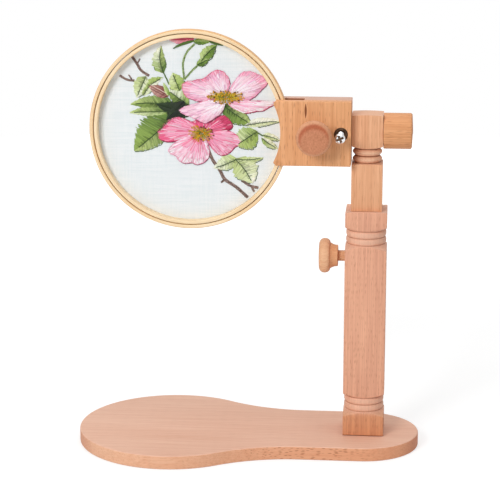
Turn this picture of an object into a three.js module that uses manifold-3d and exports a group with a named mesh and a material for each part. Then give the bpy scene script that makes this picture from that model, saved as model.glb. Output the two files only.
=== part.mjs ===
// Embroidery hoop on a table stand, in millimetres, +Z up.
//
// A pear-shaped board carries a square post with a bore down its middle. A round rod slides and
// turns in that bore and is locked by a wooden screw. The head post glued on the rod holds a
// two-jaw clamp on a cross stud, so that the clamp tilts. The clamp grips a round hoop.
//
// The origin is the middle of the board's underside. +X runs along the board towards the post,
// +Y points away from the user.

import * as THREE from 'three';
import { mergeVertices } from 'three/addons/utils/BufferGeometryUtils.js';
import Module from 'manifold-3d';

const wasm = await Module();
wasm.setup();

// ---------------------------------------------------------------- driving dimensions

const gap = 0.3; // clearance between neighbouring pieces
const overcut = 1; // how far a cutter runs past the face that it opens

const board = {
  length: 330,
  lobeRadius: 91.5, // round end under the hoop
  endRadius: 54, // round end under the post, and half the width of the neck
  waistRadius: 140, // hollow curve between the lobe and the neck
  thickness: 13.5,
  edge: 1.5, // rounding of the upper and lower edges
};

const lowerPost = {
  fromEnd: 53, // axis of both posts, from the narrow end of the board
  width: 39,
  height: 219.6,
  footBlock: 23.6, // plain square stretch at the bottom
  topBlock: 19, // plain square stretch at the top
  beadRadius: 19,
  grooveRadius: 17.7,
  shoulder: 5.5, // length of the turned run-out into the square
};

const headPost = {
  width: 29,
  height: 91.6,
  shaft: 44.9, // plain square stretch at the bottom
  beadRadius: 13.8,
  grooveRadius: 11.6,
  shoulder: 2,
  crown: 1.2, // rise of the turned top
};

const band = {
  height: 13.5, // two beads between three grooves
  beads: 2,
};

const rod = {
  radius: 11,
  woodBelow: 43.6, // solid foot of the lower post, under the bore
  tenonRadius: 7,
  tenonLength: 26,
  endSpace: 4, // free depth of the bore under the rod
};

const boardBolt = {
  radius: 4, // M8
  headRadius: 7,
  headHeight: 3.6,
  washerRadius: 10,
  washerThickness: 1.6,
  insertRadius: 6,
  insertLength: 18,
  pocketRadius: 11.5,
  pocketDepth: 6.5,
};

const dowel = {
  radius: 3,
  inBoard: 8,
  inPost: 12,
  offset: 15, // from the bolt, along X
};

// The wooden screws that lock the height and close the jaws have the same turned knob.
const knob = {
  radius: 16.5,
  length: 18.2,
  flangeRadius: 10.3,
  neckLength: 7.4,
  shoulderRadius: 12.8, // where the flared neck meets the cap
  widest: 12.6, // height of the cap's greatest girth
  rim: 4.6, // rounding of the outer face
};

const woodScrew = {
  stemRadius: 5.1, // plain stretch beside the knob
  threadRadius: 4.2,
  socketDepth: 6, // how far the stem is glued into the knob
};

const heightScrew = {
  belowTop: 46.2, // from the top of the lower post
  stemShown: 7,
};

const jawScrew = {
  fromEnd: 33.2, // from the right end of the jaws
  stemShown: 8.8,
  tipSpace: 2.5, // wood left behind the tip
};

const tiltKnob = {
  radius: 16.8,
  length: 26,
  rim: 2,
  standOff: 0.8, // from the head post
};

const tiltAxis = {
  aboveHeadFoot: 74.4, // height over the bottom of the head post
};

const stud = {
  radius: 3, // M6
  inKnob: 18,
  inJaw: 17,
  insertRadius: 4,
  insertLength: 14,
};

const jaw = {
  length: 72.2,
  height: 60.6,
  rearThickness: 20,
  rearBack: 6.5, // back face, behind the tilt axis
  frontThickness: 9.8,
  slack: 1.2, // between the jaws when the hoop is gripped
  solidLength: 44.2, // from the right end to the recess for the hoop
  hollowDepth: 6.6, // depth of the curved front end
  horn: 2.6, // flat cut off each horn
};

const jawBolt = {
  fromEnd: 9.4, // from the right end of the jaws
  radius: 2.8, // M6
  proud: 23.5, // from the front jaw's face to the top of the head
  headRadius: 4.8,
  headHeight: 3.8,
  crossWidth: 1.5,
  crossSpan: 5.6,
  crossDepth: 2,
  washerRadius: 5.8,
  washerThickness: 1.2,
  pocketRadius: 6.5,
  pocketDepth: 5,
  insertRadius: 4,
  insertLength: 8,
};

const hoop = {
  outerRadius: 94,
  fittingRoom: 13.6, // between the rim and the end of the jaws' recess
  outerWall: 3.2,
  innerWall: 3.5,
  clothGap: 0.8, // between the two rings
  depth: 10,
  clothThickness: 0.7,
  split: 4, // opening of the outer ring
};

const bracket = {
  thickness: 1.5,
  width: 8,
  earClearance: 1.6, // between the ear and the end of the jaws' recess
  earThickness: 2.5,
  earFromSplit: 1.5,
  length: 15, // along the ring, from the split
};

const hoopScrew = {
  radius: 2, // M4
  fromRing: 7,
  headRadius: 3.9,
  headHeight: 5,
  slotWidth: 0.9,
  slotDepth: 1.2,
  nutRadius: 4,
  nutHeight: 3.2,
  tail: 5, // beyond the nut
};

const rivet = {
  radius: 1,
  headRadius: 1.9,
  headHeight: 0.8,
  depthInRing: 2,
  angle: 7, // degrees from the split
};

// ---------------------------------------------------------------- derived places

const postX = board.length / 2 - lowerPost.fromEnd;
const postTop = board.thickness + gap + lowerPost.height;
const headFoot = postTop + gap;
const tiltZ = headFoot + tiltAxis.aboveHeadFoot;
const headLeft = postX - headPost.width / 2;
const headRight = postX + headPost.width / 2;
const jawRight = headLeft - gap;
const jawLeft = jawRight - jaw.length;
const mouthEnd = jawRight - jaw.solidLength;
const jawScrewX = jawRight - jawScrew.fromEnd;
const jawBoltX = jawRight - jawBolt.fromEnd;
const jawFrontOfRear = jaw.rearBack - jaw.rearThickness;
const frontJawBack = jawFrontOfRear - jaw.slack;
const frontJawFace = frontJawBack - jaw.frontThickness;
const hoopX = mouthEnd - hoop.fittingRoom - hoop.outerRadius;
const hoopFront = frontJawBack + gap;
const hoopBack = hoopFront + hoop.depth;
const hoopMiddle = (hoopFront + hoopBack) / 2;
const mouthFloor = hoopBack + gap;
const outerRingBore = hoop.outerRadius - hoop.outerWall;
const innerRingRadius = outerRingBore - hoop.clothGap;
const innerRingBore = innerRingRadius - hoop.innerWall;
const rodLength = lowerPost.height - rod.woodBelow - rod.endSpace;

// ---------------------------------------------------------------- shape helpers

const roundSteps = 40;
const smallSteps = 20;
const ringSteps = 96;

// A closed three.js geometry becomes a solid that can be cut and joined.
function solid(geometry) {
  geometry.deleteAttribute('normal');
  geometry.deleteAttribute('uv');
  const merged = mergeVertices(geometry, 1e-4);
  const index = merged.index.array;
  const triangles = [];
  for (let i = 0; i < index.length; i += 3) {
    const [a, b, c] = [index[i], index[i + 1], index[i + 2]];
    if (a !== b && b !== c && c !== a) {
      triangles.push(a, b, c);
    }
  }
  return new wasm.Manifold(new wasm.Mesh({
    numProp: 3,
    vertProperties: new Float32Array(merged.attributes.position.array),
    triVerts: new Uint32Array(triangles),
  }));
}

function geometryOf(shape) {
  const mesh = shape.getMesh();
  const geometry = new THREE.BufferGeometry();
  geometry.setAttribute('position', new THREE.BufferAttribute(mesh.vertProperties, 3));
  geometry.setIndex(new THREE.BufferAttribute(mesh.triVerts, 1));
  geometry.computeVertexNormals();
  return geometry;
}

// A solid turned about Z from [radius, height] points, listed upwards.
function turned(points, steps = roundSteps) {
  const profile = points.map(([radius, height]) => new THREE.Vector2(radius, height));
  const geometry = new THREE.LatheGeometry(profile, steps);
  geometry.rotateX(Math.PI / 2);
  return geometry;
}

function cylinder(radius, from, to, steps = roundSteps) {
  return turned([[0, from], [radius, from], [radius, to], [0, to]], steps);
}

function block(x0, x1, y0, y1, z0, z1) {
  const geometry = new THREE.BoxGeometry(x1 - x0, y1 - y0, z1 - z0);
  geometry.translate((x0 + x1) / 2, (y0 + y1) / 2, (z0 + z1) / 2);
  return geometry;
}

// Turns a geometry made along +Z so that it lies along +X, or along -Y.
function alongX(geometry) {
  return geometry.rotateY(Math.PI / 2);
}

function towardsUser(geometry) {
  return geometry.rotateX(Math.PI / 2);
}

// A shape drawn in X and Z, given its thickness from one Y to a larger one.
function plate(shape, front, back, steps = 24) {
  const geometry = new THREE.ExtrudeGeometry(shape, {
    depth: back - front,
    bevelEnabled: false,
    curveSegments: steps / 2, // three.js cuts an arc into twice as many
  });
  geometry.rotateX(Math.PI / 2);
  geometry.translate(0, back, 0);
  return geometry;
}

// Points of a quarter round between two [radius, height] points, bulging away from the axis.
function rounding(from, to, steps = 4) {
  const points = [];
  for (let i = 0; i <= steps; i += 1) {
    const turn = (i / steps) * (Math.PI / 2);
    const rising = to[0] < from[0];
    const across = rising ? 1 - Math.cos(turn) : Math.sin(turn);
    const up = rising ? Math.sin(turn) : 1 - Math.cos(turn);
    points.push([from[0] + (to[0] - from[0]) * across, from[1] + (to[1] - from[1]) * up]);
  }
  return points;
}

// Points of one turned band, upwards, with its run-outs into the square at both ends.
function bandPoints(post, from) {
  const beadSteps = 5;
  const corner = post.width * 0.75;
  const beadHeight = band.height / band.beads;
  const points = [[corner, from - post.shoulder]];
  for (let bead = 0; bead < band.beads; bead += 1) {
    for (let i = 0; i < beadSteps; i += 1) {
      const bulge = Math.sin((i / beadSteps) * Math.PI) * (post.beadRadius - post.grooveRadius);
      points.push([post.grooveRadius + bulge, from + beadHeight * (bead + i / beadSteps)]);
    }
  }
  points.push([post.grooveRadius, from + band.height]);
  points.push([corner, from + band.height + post.shoulder]);
  return points;
}

function squareTurned(post, points) {
  const half = post.width / 2;
  const stock = solid(block(-half, half, -half, half, -overcut, post.height + overcut + half));
  return stock.intersect(solid(turned(points)));
}

// ---------------------------------------------------------------- stand

function boardShape() {
  const lobeX = -board.length / 2 + board.lobeRadius;
  const endX = board.length / 2 - board.endRadius;
  const waistY = board.endRadius + board.waistRadius;
  const reach = board.lobeRadius + board.waistRadius;
  const waistX = lobeX + Math.sqrt(reach ** 2 - waistY ** 2);
  const meet = Math.atan2(waistY, waistX - lobeX);
  const shape = new THREE.Shape();
  shape.absarc(endX, 0, board.endRadius, -Math.PI / 2, Math.PI / 2, false);
  shape.absarc(waistX, waistY, board.waistRadius, -Math.PI / 2, meet - Math.PI, true);
  shape.absarc(lobeX, 0, board.lobeRadius, meet, 2 * Math.PI - meet, false);
  shape.absarc(waistX, -waistY, board.waistRadius, Math.PI - meet, Math.PI / 2, true);
  return shape;
}

function makeBoard() {
  const body = new THREE.ExtrudeGeometry(boardShape(), {
    depth: board.thickness - 2 * board.edge,
    bevelThickness: board.edge,
    bevelSize: board.edge,
    bevelOffset: -board.edge,
    bevelSegments: 2,
    curveSegments: 14,
  });
  body.translate(0, 0, board.edge);
  const hole = cylinder(boardBolt.radius + gap, -overcut, board.thickness + overcut, smallSteps);
  const pocket = cylinder(boardBolt.pocketRadius, -overcut, boardBolt.pocketDepth);
  const dowelHole = cylinder(
    dowel.radius + gap,
    board.thickness - dowel.inBoard - gap,
    board.thickness + overcut,
    smallSteps,
  );
  hole.translate(postX, 0, 0);
  pocket.translate(postX, 0, 0);
  dowelHole.translate(postX + dowel.offset, 0, 0);
  return solid(body).subtract(solid(hole)).subtract(solid(pocket)).subtract(solid(dowelHole));
}

function makeLowerPost() {
  const post = lowerPost;
  const corner = post.width * 0.75;
  const topBand = post.height - post.topBlock - band.height;
  const body = squareTurned(post, [
    [0, 0],
    [corner, 0],
    ...bandPoints(post, post.footBlock),
    ...bandPoints(post, topBand),
    [corner, post.height],
    [0, post.height],
  ]);
  const bore = cylinder(rod.radius + gap, rod.woodBelow, post.height + overcut);
  const insertHole = cylinder(boardBolt.insertRadius + gap, -overcut, boardBolt.insertLength + 2 * gap);
  const dowelHole = cylinder(dowel.radius + gap, -overcut, dowel.inPost + gap, smallSteps);
  dowelHole.translate(dowel.offset, 0, 0);
  const screwHole = alongX(cylinder(woodScrew.stemRadius + gap, 0, post.width / 2 + overcut, smallSteps));
  screwHole.rotateZ(Math.PI);
  screwHole.translate(0, 0, post.height - heightScrew.belowTop);
  return body
    .subtract(solid(bore))
    .subtract(solid(insertHole))
    .subtract(solid(dowelHole))
    .subtract(solid(screwHole));
}

function makeBoardBolt() {
  const seat = boardBolt.pocketDepth - gap - boardBolt.washerThickness - gap;
  const tip = board.thickness + gap + boardBolt.insertLength;
  return solid(turned([
    [0, seat - boardBolt.headHeight],
    [boardBolt.headRadius, seat - boardBolt.headHeight],
    [boardBolt.headRadius, seat],
    [boardBolt.radius, seat],
    [boardBolt.radius, tip],
    [0, tip],
  ], smallSteps));
}

// A flat ring about Z, from one height to a larger one.
function collar(bore, radius, from, to, steps = smallSteps) {
  return solid(turned([
    [bore, from],
    [radius, from],
    [radius, to],
    [bore, to],
    [bore, from],
  ], steps));
}

function makeBoardWasher() {
  const top = boardBolt.pocketDepth - gap;
  return collar(boardBolt.radius + gap, boardBolt.washerRadius, top - boardBolt.washerThickness, top);
}

function makePostInsert() {
  return collar(boardBolt.radius + gap, boardBolt.insertRadius, gap, gap + boardBolt.insertLength);
}

function makeDowel() {
  const bottom = board.thickness - dowel.inBoard;
  const top = board.thickness + gap + dowel.inPost;
  return solid(cylinder(dowel.radius, bottom, top, smallSteps));
}

// ---------------------------------------------------------------- rod and head post

function makeRod() {
  return solid(turned([
    [0, -rodLength],
    [rod.radius - 1, -rodLength],
    [rod.radius, 1 - rodLength],
    [rod.radius, -gap],
    [rod.tenonRadius, -gap],
    [rod.tenonRadius, rod.tenonLength],
    [0, rod.tenonLength],
  ]));
}

function makeHeadPost() {
  const post = headPost;
  const corner = post.width * 0.75;
  const body = squareTurned(post, [
    [0, 0],
    [corner, 0],
    ...bandPoints(post, post.shaft),
    [corner, post.height - post.crown],
    [post.width / 2, post.height - post.crown / 2],
    [0, post.height],
  ]);
  const mortise = cylinder(rod.tenonRadius + gap, -overcut, rod.tenonLength + gap);
  const studHole = alongX(cylinder(stud.radius + gap, -post.width, post.width, smallSteps));
  studHole.translate(0, 0, tiltAxis.aboveHeadFoot);
  return body.subtract(solid(mortise)).subtract(solid(studHole));
}

// ---------------------------------------------------------------- wooden screws and knobs

// A turned knob with its flange on the plane z = 0 and its cap towards +Z.
function makeKnob() {
  const neckSteps = 4;
  const points = [[0, 0]];
  for (let i = 0; i < neckSteps; i += 1) {
    const part = i / neckSteps;
    const flare = (knob.shoulderRadius - knob.flangeRadius) * part ** 2;
    points.push([knob.flangeRadius + flare, knob.neckLength * part]);
  }
  points.push(...rounding([knob.shoulderRadius, knob.neckLength], [knob.radius, knob.widest]));
  points.push(...rounding([knob.radius, knob.length - knob.rim], [knob.radius - knob.rim, knob.length]));
  points.push([0, knob.length]);
  const socket = cylinder(woodScrew.stemRadius + gap, -overcut, woodScrew.socketDepth + gap, smallSteps);
  return solid(turned(points, 36)).subtract(solid(socket));
}

// A wooden screw lying towards -Z from its knob, whose flange is the plane z = 0.
function makeWoodScrew(stemLength, threadLength, threadRadius) {
  const points = [[0, -stemLength - threadLength]];
  points.push([threadRadius - 0.8, -stemLength - threadLength]);
  points.push([threadRadius, 0.8 - stemLength - threadLength]);
  points.push([threadRadius, -stemLength]);
  if (threadRadius < woodScrew.stemRadius) {
    points.push([woodScrew.stemRadius, -stemLength]);
  }
  points.push([woodScrew.stemRadius, woodScrew.socketDepth]);
  points.push([0, woodScrew.socketDepth]);
  return solid(turned(points, smallSteps));
}

function makeTiltKnob() {
  const { radius, length, rim } = tiltKnob;
  const body = turned([
    [0, 0],
    [radius - 0.8, 0],
    [radius, 0.8],
    ...rounding([radius, length - rim], [radius - rim, length]),
    [0, length + 0.8],
  ], 36);
  return solid(body).subtract(solid(cylinder(stud.radius + gap, -overcut, stud.inKnob + gap, smallSteps)));
}

// ---------------------------------------------------------------- clamp
// Drawn with the tilt axis at y = 0, z = 0, and X as in the whole stand.

// Outline of both jaws: straight sides, a hollow left end and two blunt horns.
function jawShape() {
  const half = jaw.height / 2;
  const hornZ = half - jaw.horn;
  const radius = (hornZ ** 2 + jaw.hollowDepth ** 2) / (2 * jaw.hollowDepth);
  const centreX = jawLeft + jaw.hollowDepth - radius;
  const spread = Math.asin(hornZ / radius);
  const shape = new THREE.Shape();
  shape.moveTo(jawLeft + jaw.horn, -half);
  shape.lineTo(jawRight, -half);
  shape.lineTo(jawRight, half);
  shape.lineTo(jawLeft + jaw.horn, half);
  shape.absarc(centreX, 0, radius, spread, -spread, true);
  return shape;
}

// A round cutter along Y, between two places in front of and behind the tilt axis.
function drill(x, radius, front, back, steps = smallSteps) {
  const geometry = towardsUser(cylinder(radius, -back, -front, steps));
  geometry.translate(x, 0, 0);
  return solid(geometry);
}

function makeRearJaw() {
  const body = solid(plate(jawShape(), jawFrontOfRear, jaw.rearBack));
  const mouth = block(
    jawLeft - overcut,
    mouthEnd,
    jawFrontOfRear - overcut,
    mouthFloor,
    -jaw.height / 2 - overcut,
    jaw.height / 2 + overcut,
  );
  const studHole = alongX(
    cylinder(stud.radius + gap, jawRight - stud.inJaw - gap, jawRight + overcut, smallSteps),
  );
  const insertHole = alongX(
    cylinder(stud.insertRadius + gap, jawRight - stud.insertLength - gap, jawRight + overcut, smallSteps),
  );
  const screwTip = jaw.rearBack - jawScrew.tipSpace;
  const boltEnd = jawFrontOfRear + jawBolt.insertLength + gap;
  return body
    .subtract(solid(mouth))
    .subtract(solid(studHole))
    .subtract(solid(insertHole))
    .subtract(drill(jawScrewX, woodScrew.threadRadius + gap, jawFrontOfRear - overcut, screwTip))
    .subtract(drill(jawBoltX, jawBolt.insertRadius + gap, jawFrontOfRear - overcut, boltEnd));
}

function makeFrontJaw() {
  const front = frontJawFace - overcut;
  const back = frontJawBack + overcut;
  const pocketFloor = frontJawFace + jawBolt.pocketDepth;
  const pocketSteps = 32;
  return solid(plate(jawShape(), frontJawFace, frontJawBack))
    .subtract(drill(jawScrewX, woodScrew.threadRadius + gap, front, back))
    .subtract(drill(jawBoltX, jawBolt.radius + gap, front, back))
    .subtract(drill(jawBoltX, jawBolt.pocketRadius, front, pocketFloor, pocketSteps));
}

// Pieces of the jaw bolt are turned about Z, with +Z as the way towards the user.
function makeJawBolt() {
  const top = jawBolt.proud - frontJawFace;
  const under = top - jawBolt.headHeight;
  const tip = -jawFrontOfRear - jawBolt.insertLength;
  const body = solid(turned([
    [0, tip],
    [jawBolt.radius, tip],
    [jawBolt.radius, under],
    [jawBolt.headRadius, under],
    [jawBolt.headRadius, under + 1.6],
    ...rounding([jawBolt.headRadius, under + 1.6], [1.5, top], 3).slice(1),
    [0, top],
  ], smallSteps));
  const { crossSpan, crossWidth, crossDepth } = jawBolt;
  const floor = top - crossDepth;
  const arm = block(-crossSpan / 2, crossSpan / 2, -crossWidth / 2, crossWidth / 2, floor, top + overcut);
  const otherArm = arm.clone().rotateZ(Math.PI / 2);
  return body.subtract(solid(arm)).subtract(solid(otherArm));
}

function makeJawWasher() {
  const seat = -frontJawFace - jawBolt.pocketDepth + gap;
  return collar(jawBolt.radius + gap, jawBolt.washerRadius, seat, seat + jawBolt.washerThickness, 28);
}

function makeJawInsert() {
  const mouth = -jawFrontOfRear;
  return collar(jawBolt.radius + gap, jawBolt.insertRadius, mouth - jawBolt.insertLength, mouth);
}

// The stud and its insert are turned about Z, with +Z as the way towards +X of the stand.
function makeStud() {
  return solid(cylinder(
    stud.radius,
    jawRight - stud.inJaw,
    headRight + tiltKnob.standOff + stud.inKnob,
    smallSteps,
  ));
}

function makeStudInsert() {
  return collar(stud.radius + gap, stud.insertRadius, jawRight - stud.insertLength, jawRight);
}

// ---------------------------------------------------------------- hoop
// Drawn with the hoop's axis along Y at x = 0, z = 0, and Y as in the whole stand.

function annulus(bore, radius, front, back) {
  const shape = new THREE.Shape();
  shape.absarc(0, 0, radius, 0, 2 * Math.PI, false);
  const hole = new THREE.Path();
  hole.absarc(0, 0, bore, 0, 2 * Math.PI, true);
  shape.holes.push(hole);
  return solid(plate(shape, front, back, ringSteps));
}

// A radial rivet hole through the brackets and into the outer ring.
function rivetHole(side, radius, depth) {
  const hole = alongX(cylinder(radius, hoop.outerRadius - depth, hoop.outerRadius + 10, 12));
  hole.rotateY(-side * THREE.MathUtils.degToRad(rivet.angle));
  hole.translate(0, hoopMiddle, 0);
  return solid(hole);
}

function makeOuterRing() {
  const opening = block(
    hoop.outerRadius / 2,
    hoop.outerRadius + overcut,
    hoopFront - overcut,
    hoopBack + overcut,
    -hoop.split / 2,
    hoop.split / 2,
  );
  const holeDepth = rivet.depthInRing + gap;
  return annulus(outerRingBore, hoop.outerRadius, hoopFront, hoopBack)
    .subtract(solid(opening))
    .subtract(rivetHole(1, rivet.radius + gap, holeDepth))
    .subtract(rivetHole(-1, rivet.radius + gap, holeDepth));
}

const innerRingBack = hoopBack - hoop.clothThickness - gap;

function makeInnerRing() {
  return annulus(innerRingBore, innerRingRadius, hoopFront, innerRingBack);
}

function makeCloth() {
  const shape = new THREE.Shape();
  shape.absarc(0, 0, innerRingRadius, 0, 2 * Math.PI, false);
  return solid(plate(shape, hoopBack - hoop.clothThickness, hoopBack, ringSteps));
}

const earZ = hoop.split / 2 + bracket.earFromSplit;

// A curved strip on the ring with an ear that the hoop screw passes through.
function makeBracket(side) {
  const inner = hoop.outerRadius + gap;
  const outer = inner + bracket.thickness;
  const earTop = earZ + bracket.earThickness;
  const earX = hoop.outerRadius + hoop.fittingRoom - bracket.earClearance;
  const far = bracket.length / hoop.outerRadius;
  const shape = new THREE.Shape();
  shape.absarc(0, 0, inner, far, Math.asin(earZ / inner), true);
  shape.lineTo(earX, earZ);
  shape.lineTo(earX, earTop);
  shape.absarc(0, 0, outer, Math.asin(earTop / outer), far, false);
  const body = plate(shape, hoopMiddle - bracket.width / 2, hoopMiddle + bracket.width / 2, 6);
  if (side < 0) {
    body.rotateX(Math.PI);
    body.translate(0, 2 * hoopMiddle, 0);
  }
  const hole = cylinder(hoopScrew.radius + gap, -2 * earTop, 2 * earTop, smallSteps);
  hole.translate(hoop.outerRadius + hoopScrew.fromRing, hoopMiddle, 0);
  return solid(body)
    .subtract(solid(hole))
    .subtract(rivetHole(side, rivet.radius + gap, 0));
}

// A rivet turned about Z with the face of the ring at z = 0.
function makeRivet() {
  const under = gap + bracket.thickness + gap;
  return solid(turned([
    [0, -rivet.depthInRing],
    [rivet.radius, -rivet.depthInRing],
    [rivet.radius, under],
    [rivet.headRadius, under],
    [rivet.headRadius, under + rivet.headHeight / 2],
    [rivet.headRadius / 2, under + rivet.headHeight],
    [0, under + rivet.headHeight],
  ], 12));
}

const earFace = earZ + bracket.earThickness + gap;

function makeHoopScrew() {
  const tip = -earFace - hoopScrew.nutHeight - hoopScrew.tail;
  const top = earFace + hoopScrew.headHeight;
  const body = solid(turned([
    [0, tip],
    [hoopScrew.radius, tip],
    [hoopScrew.radius, earFace],
    [hoopScrew.headRadius, earFace],
    [hoopScrew.headRadius, top],
    [0, top],
  ], smallSteps));
  const slot = block(
    -hoopScrew.headRadius - overcut,
    hoopScrew.headRadius + overcut,
    -hoopScrew.slotWidth / 2,
    hoopScrew.slotWidth / 2,
    top - hoopScrew.slotDepth,
    top + overcut,
  );
  return body.subtract(solid(slot));
}

function makeHoopNut() {
  return solid(cylinder(hoopScrew.nutRadius, -earFace - hoopScrew.nutHeight, -earFace, 6))
    .subtract(solid(cylinder(hoopScrew.radius + gap, -2 * earFace - hoopScrew.nutHeight, 0, smallSteps)));
}

// ---------------------------------------------------------------- materials

const beech = { color: 0xe0a880, roughness: 0.6, metalness: 0 };
const beechBoard = { color: 0xe8b898, roughness: 0.6, metalness: 0 };
const paleWood = { color: 0xf6dfb4, roughness: 0.55, metalness: 0 };
const zinc = { color: 0xc8ccd0, roughness: 0.3, metalness: 1 };
const brass = { color: 0xc9a45c, roughness: 0.35, metalness: 1 };
const cotton = { color: 0xe8edee, roughness: 0.9, metalness: 0 };

function piece(name, shape, finish) {
  const mesh = new THREE.Mesh(geometryOf(shape), new THREE.MeshStandardMaterial(finish));
  mesh.name = name;
  return mesh;
}

// ---------------------------------------------------------------- assembly

function makeStand() {
  const stand = new THREE.Group();
  stand.add(piece('base_board', makeBoard(), beechBoard));

  const column = new THREE.Group();
  column.position.x = postX;
  const post = piece('lower_post', makeLowerPost(), beech);
  post.position.z = board.thickness + gap;
  const insert = piece('post_insert', makePostInsert(), brass);
  insert.position.z = board.thickness + gap;
  const peg = piece('post_dowel', makeDowel(), beech);
  peg.position.x = dowel.offset;
  column.add(post, insert, peg);
  column.add(piece('base_bolt', makeBoardBolt(), zinc));
  column.add(piece('base_washer', makeBoardWasher(), zinc));
  stand.add(column);
  return stand;
}

// A wooden screw with its knob, laid along a direction by turning this group's +Z to it.
function makeScrewSet(names, screw) {
  const set = new THREE.Group();
  set.add(piece(names[0], screw, beech));
  set.add(piece(names[1], makeKnob(), beech));
  return set;
}

function makeHeightLock() {
  const wall = lowerPost.width / 2 - rod.radius;
  const screw = makeWoodScrew(heightScrew.stemShown, wall - gap, woodScrew.stemRadius);
  const set = makeScrewSet(['height_screw', 'height_knob'], screw);
  set.rotation.y = -Math.PI / 2;
  set.position.set(
    postX - lowerPost.width / 2 - heightScrew.stemShown,
    0,
    postTop - heightScrew.belowTop,
  );
  return set;
}

function makeHead() {
  const head = new THREE.Group();
  head.position.set(postX, 0, headFoot);
  head.add(piece('height_rod', makeRod(), beech));
  head.add(piece('head_post', makeHeadPost(), beech));
  return head;
}

function makeClamp() {
  const clamp = new THREE.Group();
  clamp.position.z = tiltZ;
  clamp.add(piece('rear_jaw', makeRearJaw(), beech));
  clamp.add(piece('front_jaw', makeFrontJaw(), beech));

  const boltLine = new THREE.Group();
  boltLine.rotation.x = Math.PI / 2;
  boltLine.position.x = jawBoltX;
  boltLine.add(piece('jaw_bolt', makeJawBolt(), zinc));
  boltLine.add(piece('jaw_washer', makeJawWasher(), zinc));
  boltLine.add(piece('jaw_insert', makeJawInsert(), brass));
  clamp.add(boltLine);

  const stemEnd = jawScrew.stemShown - gap;
  const threadEnd = jaw.rearBack - jawScrew.tipSpace - gap;
  const thread = threadEnd - (frontJawFace - gap);
  const screw = makeWoodScrew(stemEnd, thread, woodScrew.threadRadius);
  const jawSet = makeScrewSet(['jaw_screw', 'jaw_knob'], screw);
  jawSet.rotation.x = Math.PI / 2;
  jawSet.position.set(jawScrewX, frontJawFace - jawScrew.stemShown, 0);
  clamp.add(jawSet);

  const studLine = new THREE.Group();
  studLine.rotation.y = Math.PI / 2;
  studLine.add(piece('tilt_stud', makeStud(), zinc));
  studLine.add(piece('tilt_insert', makeStudInsert(), brass));
  const handle = piece('tilt_knob', makeTiltKnob(), beech);
  handle.position.z = headRight + tiltKnob.standOff;
  studLine.add(handle);
  clamp.add(studLine);
  return clamp;
}

function makeHoop() {
  const set = new THREE.Group();
  set.position.set(hoopX, 0, tiltZ);
  set.add(piece('outer_ring', makeOuterRing(), paleWood));
  set.add(piece('inner_ring', makeInnerRing(), paleWood));
  set.add(piece('fabric', makeCloth(), cotton));
  set.add(piece('upper_bracket', makeBracket(1), brass));
  set.add(piece('lower_bracket', makeBracket(-1), brass));

  for (const [name, side] of [['upper_rivet', 1], ['lower_rivet', -1]]) {
    const turn = THREE.MathUtils.degToRad(rivet.angle) * side;
    const pin = piece(name, makeRivet(), brass);
    pin.position.set(hoop.outerRadius * Math.cos(turn), hoopMiddle, hoop.outerRadius * Math.sin(turn));
    pin.rotation.y = Math.PI / 2 - turn;
    set.add(pin);
  }

  const screwLine = new THREE.Group();
  screwLine.position.set(hoop.outerRadius + hoopScrew.fromRing, hoopMiddle, 0);
  screwLine.add(piece('hoop_screw', makeHoopScrew(), brass));
  screwLine.add(piece('hoop_nut', makeHoopNut(), brass));
  set.add(screwLine);
  return set;
}

const group = new THREE.Group();
group.add(makeStand(), makeHeightLock(), makeHead(), makeClamp(), makeHoop());

export default group;
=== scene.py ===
"""An embroidery hoop on a table stand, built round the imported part.

The stand, the clamp and the hoop are modelled again at full detail on the frame's own places, and
the cloth carries a spray of wild roses worked stitch by stitch. Lengths are in metres.
"""

import math
import random

import bmesh
import bpy
from mathutils import Matrix, Vector


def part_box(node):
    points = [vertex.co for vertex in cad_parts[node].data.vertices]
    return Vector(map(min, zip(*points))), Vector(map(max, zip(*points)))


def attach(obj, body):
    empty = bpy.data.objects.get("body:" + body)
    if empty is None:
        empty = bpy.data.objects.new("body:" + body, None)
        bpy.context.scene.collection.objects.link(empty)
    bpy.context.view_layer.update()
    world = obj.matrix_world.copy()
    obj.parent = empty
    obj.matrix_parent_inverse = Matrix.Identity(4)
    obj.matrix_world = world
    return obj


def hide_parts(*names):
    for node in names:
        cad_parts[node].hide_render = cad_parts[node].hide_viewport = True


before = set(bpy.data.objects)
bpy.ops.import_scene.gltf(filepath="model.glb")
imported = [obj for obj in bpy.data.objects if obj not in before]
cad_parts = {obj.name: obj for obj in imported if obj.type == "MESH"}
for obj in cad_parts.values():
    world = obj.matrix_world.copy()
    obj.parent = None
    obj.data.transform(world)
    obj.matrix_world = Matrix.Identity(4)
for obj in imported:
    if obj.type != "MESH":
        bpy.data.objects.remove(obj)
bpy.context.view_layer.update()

mm = 0.001
AXIS = {"X": Vector((1, 0, 0)), "Y": Vector((0, 1, 0)), "Z": Vector((0, 0, 1))}
GRAIN_TURN = {"X": (0, 0, 0), "Y": (0, 0, -math.pi / 2), "Z": (0, math.pi / 2, 0)}
BEAD_HEIGHT = 6.75 * mm
CLOTH_THICKNESS = 0.3 * mm
CLOTH_SEAT = 0.28 * mm  # from the inner ring's back to the middle of the cloth
HOLE_START = 2 * mm  # how far outside a piece a drill or a saw starts


# ------------------------------------------------------------------ camera and studio

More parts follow.
